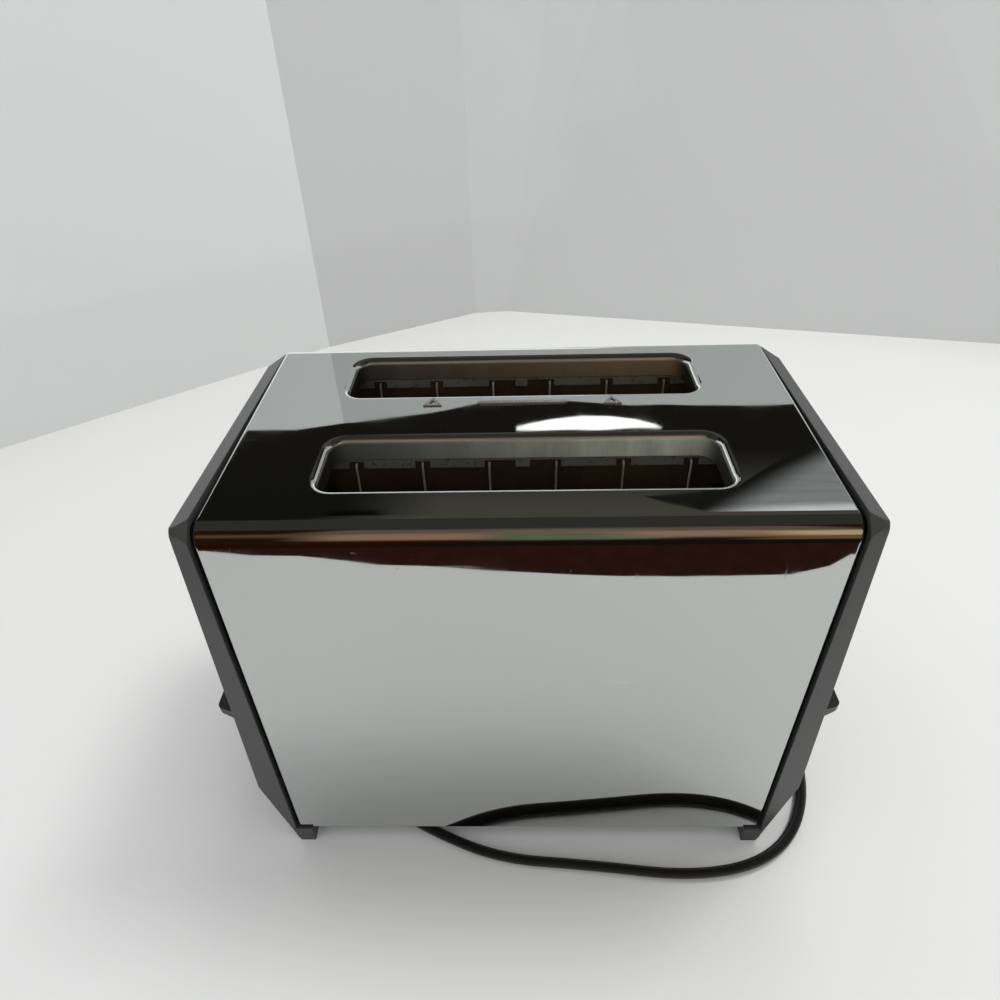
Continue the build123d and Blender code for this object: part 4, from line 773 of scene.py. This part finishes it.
# Finger ledges
# Glossier black mouldings, thin at the tip, pressed into the panels' sunken faces. Fingers
# have polished their upper sides.
ledge = Finish("finger_ledges")
touched = ledge.noise(0.02, (1, 1, 1), 4)
ledge.set(
    Base_Color=ledge.mix(touched, (0.014, 0.014, 0.014), (0.03, 0.03, 0.029)),
    Roughness=0.14 + touched * 0.18,
)
ledge.bump(ledge.noise(0.0006), 0.00001, 0.0006)
coat(ledge, "left_finger_ledge", "right_finger_ledge")


# Lever knob
# A moulded black grip pushed on the carriage's lever, softly rounded, with three ridges
# across its top for the finger.
RIDGE_X = (0.1175, 0.1205, 0.1235)
RIDGE_RADIUS = 0.0006
RIDGE_MARGIN = 0.004
GRIP_ROUNDING = 0.0011
BAR_SIDES = 10


def softened(name, node, finish, body, width):
    """A copy of a CAD node with rounded edges, which stands for it."""
    shape = bmesh.new()
    shape.from_mesh(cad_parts[node].data)
    bmesh.ops.remove_doubles(shape, verts=shape.verts, dist=1e-6)
    bmesh.ops.dissolve_limit(shape, angle_limit=radians(2), verts=shape.verts, edges=shape.edges)
    piece = as_object(name, shape, finish, body)
    rounding = piece.modifiers.new("rounding", "BEVEL")
    rounding.width = width
    rounding.segments = 3
    rounding.angle_limit = radians(30)
    bpy.context.view_layer.update()
    rounded = piece.evaluated_get(bpy.context.evaluated_depsgraph_get())
    piece.data = bpy.data.meshes.new_from_object(rounded)
    piece.modifiers.clear()
    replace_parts(piece, node)
    return piece


def rounded_bar(shape, start, end, radius):
    """A bar with round ends, from start to end."""
    start, end = Vector(start), Vector(end)
    way = (end - start).normalized()
    side = way.orthogonal().normalized()
    over = way.cross(side)
    rings = []
    for centre, angles in ((start, (-80, -50, -20, 0)), (end, (0, 20, 50, 80))):
        for angle in angles:
            middle = centre + way * radius * sin(radians(angle))
            across = radius * cos(radians(angle))
            turns = [tau * i / BAR_SIDES for i in range(BAR_SIDES)]
            rings.append([middle + (side * cos(turn) + over * sin(turn)) * across for turn in turns])
    skin(shape, rings)


grip = Finish("lever_knob")
handled = grip.noise(0.008, (1, 1, 1), 4)
grip.set(
    Base_Color=grip.mix(handled, (0.014, 0.014, 0.014), (0.032, 0.032, 0.03)),
    Roughness=0.2 + handled * 0.22,
)
grip.bump(grip.noise(0.0005), 0.00001)
softened("lever_grip", "lever_knob", grip, "carriage", GRIP_ROUNDING)
low, high = [Vector(corner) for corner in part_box("lever_knob")]
shape = bmesh.new()
for ridge_x in RIDGE_X:
    ends = [(ridge_x, y, high.z) for y in (low.y + RIDGE_MARGIN, high.y - RIDGE_MARGIN)]
    rounded_bar(shape, *ends, RIDGE_RADIUS)
as_object("lever_grip_ridges", shape, grip, "carriage")


# Browning knob
# A black knob with a fluted rim, pushed on the shaft's flat, with a raised pointer on its
# face and no words round it.
POINTER_RADIUS = 0.0006
POINTER_SINK = 0.0001
POINTER_START = 0.0025
POINTER_MARGIN = 0.0022
DIAL_ROUNDING = 0.0005

dial = Finish("browning_knob")
rubbed = dial.noise(0.006, (1, 1, 1), 4)
dial.set(
    Base_Color=dial.mix(rubbed, (0.014, 0.014, 0.014), (0.032, 0.032, 0.03)),
    Roughness=0.2 + rubbed * 0.2,
)
dial.bump(dial.noise(0.0005), 0.00001)
low, high = [Vector(corner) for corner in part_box("browning_knob")]
centre = (low + high) / 2
softened("browning_dial", "browning_knob", dial, "browning_control", DIAL_ROUNDING)
paint = Finish("dial_pointer", Roughness=0.45)
paint.set(Base_Color=paint.mix(paint.noise(0.001), (0.35, 0.35, 0.33), (0.6, 0.6, 0.57)))
ends = [(high.x - POINTER_SINK, centre.y, z) for z in (centre.z + POINTER_START, high.z - POINTER_MARGIN)]
shape = bmesh.new()
rounded_bar(shape, *ends, POINTER_RADIUS)
as_object("dial_pointer", shape, paint, "browning_control")


# Panel screws
# Zinc-plated slotted screws, four to each end, which go through the panels' bosses into
# the inner end plates.
screws = Finish("panel_screws", Metallic=1.0)
screws.set(
    Base_Color=screws.mix(screws.noise(0.001), (0.4, 0.4, 0.39), (0.62, 0.62, 0.6)),
    Roughness=0.18 + screws.noise(0.0004) * 0.2,
)
screws.bump(screws.noise(0.0004), 0.00001, 0.0003)
coat(screws, "end_panel_screws")


# Stage
# A pale table with pale boards standing round its back. The room beyond is dark, and only
# the polished metal shows it.
TABLE_REACH = 6.0
BOARD_FEET = (
    (-0.75, 0.02), (-0.352, 0.325), (-0.193, 0.445), (-0.048, 0.523), (0.089, 0.536), (0.238, 0.515),
    (0.368, 0.481), (0.75, 0.30), (1.05, 0.10),
)
BOARD_TOPS = (
    (-0.75, 0.52), (-0.323, 0.485), (-0.297, 0.450), (-0.274, 0.426), (-0.236, 0.444), (-0.182, 0.459),
    (-0.104, 0.473), (-0.012, 0.484), (0.054, 0.482), (0.132, 0.489), (0.212, 0.482), (0.313, 0.471),
    (0.362, 0.526), (0.406, 0.586), (0.5, 0.62), (1.05, 0.64),
)
ROOM_REACH = 2.5
TABLE_FRONT = (
    (-ROOM_REACH, -0.27), (-0.215, -0.26), (-0.183, -0.255), (-0.149, -0.254), (-0.114, -0.249),
    (-0.094, -0.245), (-0.06, -0.242), (-0.015, -0.238), (0.024, -0.235), (0.062, -0.232),
    (0.099, -0.231), (0.131, -0.231), (0.169, -0.233), (0.196, -0.240), (0.213, -0.25),
    (ROOM_REACH, -0.27),
)
# Each board's first and last foot and its tone. The tones differ board to board as painted light and shade,
# for the different light on each face.
BOARDS = (("left_board", 0, 2, 0.71), ("middle_board", 2, 3, 0.58), ("right_board", 3, 8, 0.64))
BAND_LOW = 0.10
BAND_HIGH = 0.34
BAND_GAP = 0.004
ROOM_FLOOR_Z = 0.001
WALL_Y = -0.65
WALL_REACH = 2.0
WALL_TOP = 1.1
# Each streak's left, right, lower and upper edge, its softness and its colour.
WALL_STREAKS = (
    (-0.3, 0.45, 0.45, 1.0, 0.2, (0.15, 0.12, 0.10)),
    (-0.6, -0.16, 0.40, 0.60, 0.08, (0.115, 0.075, 0.04)),
    (-0.24, -0.02, 0.18, 0.56, 0.09, (0.39, 0.22, 0.14)),
    (-0.04, 0.16, 0.40, 0.75, 0.1, (0.22, 0.165, 0.12)),
    (-0.03, 0.15, 0.12, 0.42, 0.06, (0.15, 0.19, 0.105)),
    (0.12, 0.30, 0.2, 0.6, 0.09, (0.37, 0.23, 0.155)),
    (0.27, 0.6, 0.0, 0.46, 0.07, (0.22, 0.11, 0.045)),
    (0.29, 0.9, 0.24, 0.52, 0.06, (0.66, 0.50, 0.28)),
)
CEILING_Z = 1.21
CEILING_X = 3.0
CEILING_Y = (0.4, 3.5)
GLOW_Z = 1.2
LAMP_ARC = (
    (-0.010, 1.60), (-0.008, 1.622), (0.031, 1.644), (0.092, 1.665), (0.194, 1.680), (0.275, 1.672),
    (0.348, 1.652), (0.401, 1.623), (0.422, 1.60),
)
ROOM_LIGHT = (0.85, 0.86, 0.87)
ROOM_STRENGTH = 0.93
ROOM_DARK = (0.045, 0.043, 0.036)
# The slanting line where the window's light ends: its direction and offset.
WINDOW_EDGE = (0.585, -0.811, 0.7085)
WINDOW_PATCH = (
    (0.323, 1.279), (0.573, 1.31), (0.831, 1.52), (1.3, 1.8), (1.3, 1.0), (0.8, 1.155), (0.652, 1.168),
    (0.5, 1.2), (0.4, 1.24),
)


def flat(name, corners, finish):
    """One face of the stage."""
    mesh = bpy.data.meshes.new(name)
    mesh.from_pydata(corners, [], [list(range(len(corners)))])
    mesh.materials.append(finish.material)
    thing = bpy.data.objects.new(name, mesh)
    scene.collection.objects.link(thing)
    return thing


def only_reflected(thing):
    """Leaves a face of the stage to be seen in the polished metal only."""
    thing.visible_camera = False
    thing.visible_diffuse = False
    thing.visible_shadow = False
    thing.visible_transmission = False
    thing.visible_volume_scatter = False
    return thing


def glow(name, strength=1.0, **constants):
    """A finish that gives off light and reflects none."""
    constants.update(Base_Color=(0, 0, 0), Roughness=1.0, Specular_IOR_Level=0.0, Emission_Strength=strength)
    return Finish(name, **constants)


def rectangle(reach, near, far, z):
    """Corners of a level rectangle that reaches equally far left and right."""
    return [(-reach, near, z), (reach, near, z), (reach, far, z), (-reach, far, z)]


def along_line(points, x):
    """The value at x on a line through (x, value) points."""
    for (x0, v0), (x1, v1) in zip(points, points[1:]):
        if x <= x1:
            return v0 + (v1 - v0) * (x - x0) / (x1 - x0)
    return points[-1][1]


table_top = Finish("table_top", Roughness=0.6)
table_top.set(Base_Color=table_top.mix(table_top.noise(0.4), (0.72, 0.72, 0.705), (0.76, 0.76, 0.745)))
flat("floor", rectangle(TABLE_REACH, -TABLE_REACH, TABLE_REACH, 0), table_top)

# Each board takes its own tone, which paints in how brightly that face is lit.
for name, first, last, tone in BOARDS:
    board = Finish(name, Roughness=0.8)
    shade, light = (tone * 0.98, tone * 0.99, tone * 0.98), (tone, tone * 1.01, tone)
    board.set(Base_Color=board.mix(board.noise(0.15), shade, light))
    feet = BOARD_FEET[first:last + 1]
    stops = sorted({p[0] for p in feet} | {p[0] for p in BOARD_TOPS if feet[0][0] < p[0] < feet[-1][0]})
    line = [(x, along_line(feet, x)) for x in stops]
    top = [(x, y, along_line(BOARD_TOPS, x)) for x, y in reversed(line)]
    flat(name, [(x, y, 0) for x, y in line] + top, board)

# A glowing strip just in front of the boards, seen only in the metal: a painted reflection that makes the
# boards show brighter there than they are lit.
shine = glow("board_shine", 1.25, Emission_Color=(0.97, 1.0, 0.98))
low_edge = [(x, y - BAND_GAP, BAND_LOW) for x, y in BOARD_FEET]
high_edge = [(x, y - BAND_GAP, BAND_HIGH) for x, y in reversed(BOARD_FEET)]
only_reflected(flat("board_shine", low_edge + high_edge, shine))

# The room's floor beyond the table: a glowing card seen only in the metal, a painted reflection of the dark
# room, mottled maroon near the table's edge.
maroon = glow("room_floor")
mx, my = maroon.along(0), maroon.along(1)
edge = my + mx * 0.09 + maroon.noise(0.09) * 0.02
beyond = maroon.mix(mx.above(-0.1, 0.05), (0.024, 0.007, 0.002), (0.010, 0.009, 0.007))
maroon_reflection = maroon.mix(maroon.noise(0.012, (1, 1, 1), 4), (0.020, 0.006, 0.005), (0.048, 0.016, 0.012))
maroon.set(Emission_Color=maroon.mix(edge.above(-0.285, 0.012), beyond, maroon_reflection))
table_edge = [(x, y, ROOM_FLOOR_Z) for x, y in TABLE_FRONT]
far_edge = [(ROOM_REACH, WALL_Y, ROOM_FLOOR_Z), (-ROOM_REACH, WALL_Y, ROOM_FLOOR_Z)]
only_reflected(flat("room_floor", table_edge + far_edge, maroon))

wall = glow("room_wall", 1.2)
wx = wall.along(0)
wz = wall.along(2) + (wall.noise(0.2, (1, 1, 5), 4) * 0.12 - 0.06)
color = (0.022, 0.008, 0.004)
for west, east, low, high, soft, tone in WALL_STREAKS:
    color = wall.mix(wx.between(west, east, 0.05) * wz.between(low, high, soft), color, tone)
fine = wall.noise(0.16, (0.5, 1, 8), 5, 0.7).above(0.5, 0.14)
wall.set(Emission_Color=wall.mix(fine * 0.35, color, (0.02, 0.01, 0.006)))
feet = [(-WALL_REACH, WALL_Y, 0), (WALL_REACH, WALL_Y, 0)]
tops = [(WALL_REACH, WALL_Y, WALL_TOP), (-WALL_REACH, WALL_Y, WALL_TOP)]
only_reflected(flat("room_wall", feet + tops, wall))

ceiling = glow("room_above")
cx, cy = ceiling.along(0), ceiling.along(1)
tone = ceiling.mix(cx.above(-0.32, 0.16), (0.010, 0.010, 0.008), (0.088, 0.084, 0.066))
tone = ceiling.mix(cy.above(1.36, 0.16), tone, (0.012, 0.011, 0.009))
rail = cx.between(-0.45, 0.22, 0.06) * cy.between(1.185, 1.205, 0.008)
tone = ceiling.mix(rail * 0.9, tone, (0.002, 0.002, 0.002))
rail_end = cx.between(-0.50, -0.36, 0.03) * cy.between(1.19, 1.235, 0.012)
ceiling.set(Emission_Color=ceiling.mix(rail_end * 0.9, tone, (0.002, 0.002, 0.002)))
only_reflected(flat("room_above", rectangle(CEILING_X, *CEILING_Y, CEILING_Z), ceiling))
lamp_disc = glow("lamp_disc", 2.0, Emission_Color=(1.0, 1.0, 0.98))
only_reflected(flat("lamp_disc", [(x, y, GLOW_Z) for x, y in LAMP_ARC], lamp_disc))
window = glow("window_patch")
px, py = window.along(0), window.along(1)
veil = window.noise(0.12, (0.3, 2.6, 1), 5, 0.6).above(0.54, 0.12)
inside = (px * WINDOW_EDGE[0] + py * WINDOW_EDGE[1] + WINDOW_EDGE[2]).above(0.03, 0.045)
tone = window.mix(py.above(1.224, 0.022), (1.0, 1.0, 0.98), (0.33, 0.34, 0.34))
tone = window.mix(veil * 0.4, tone, (0.14, 0.14, 0.13))
window.set(Emission_Color=window.mix(inside, (0.012, 0.012, 0.010), tone))
only_reflected(flat("window_patch", [(x, y, GLOW_Z) for x, y in WINDOW_PATCH], window))

world = bpy.data.worlds.new("room")
scene.world = world
world.use_nodes = True
tree = world.node_tree
tree.nodes.clear()
seen_by = tree.nodes.new("ShaderNodeLightPath")
choose = tree.nodes.new("ShaderNodeMixShader")
output = tree.nodes.new("ShaderNodeOutputWorld")
tree.links.new(seen_by.outputs["Is Glossy Ray"], choose.inputs["Fac"])
for place, color, strength in ((1, ROOM_LIGHT, ROOM_STRENGTH), (2, ROOM_DARK, 1.0)):
    background = tree.nodes.new("ShaderNodeBackground")
    background.inputs["Color"].default_value = (*color, 1)
    background.inputs["Strength"].default_value = strength
    tree.links.new(background.outputs[0], choose.inputs[place])
tree.links.new(choose.outputs[0], output.inputs["Surface"])


def lamp(name, place, size, power):
    """A soft square lamp over the table, turned to the toaster."""
    data = bpy.data.lights.new(name, "AREA")
    data.size = size
    data.energy = power
    thing = bpy.data.objects.new(name, data)
    aim = (-Vector(place)).to_track_quat("-Z", "Y")
    thing.matrix_world = Matrix.Translation(place) @ aim.to_matrix().to_4x4()
    thing.visible_glossy = False
    scene.collection.objects.link(thing)


lamp("right_lamp", (0.6, 0.24, 1.5), 0.35, 8.5)
lamp("rear_lamp", (0.2, 0.42, 1.5), 0.45, 3.5)
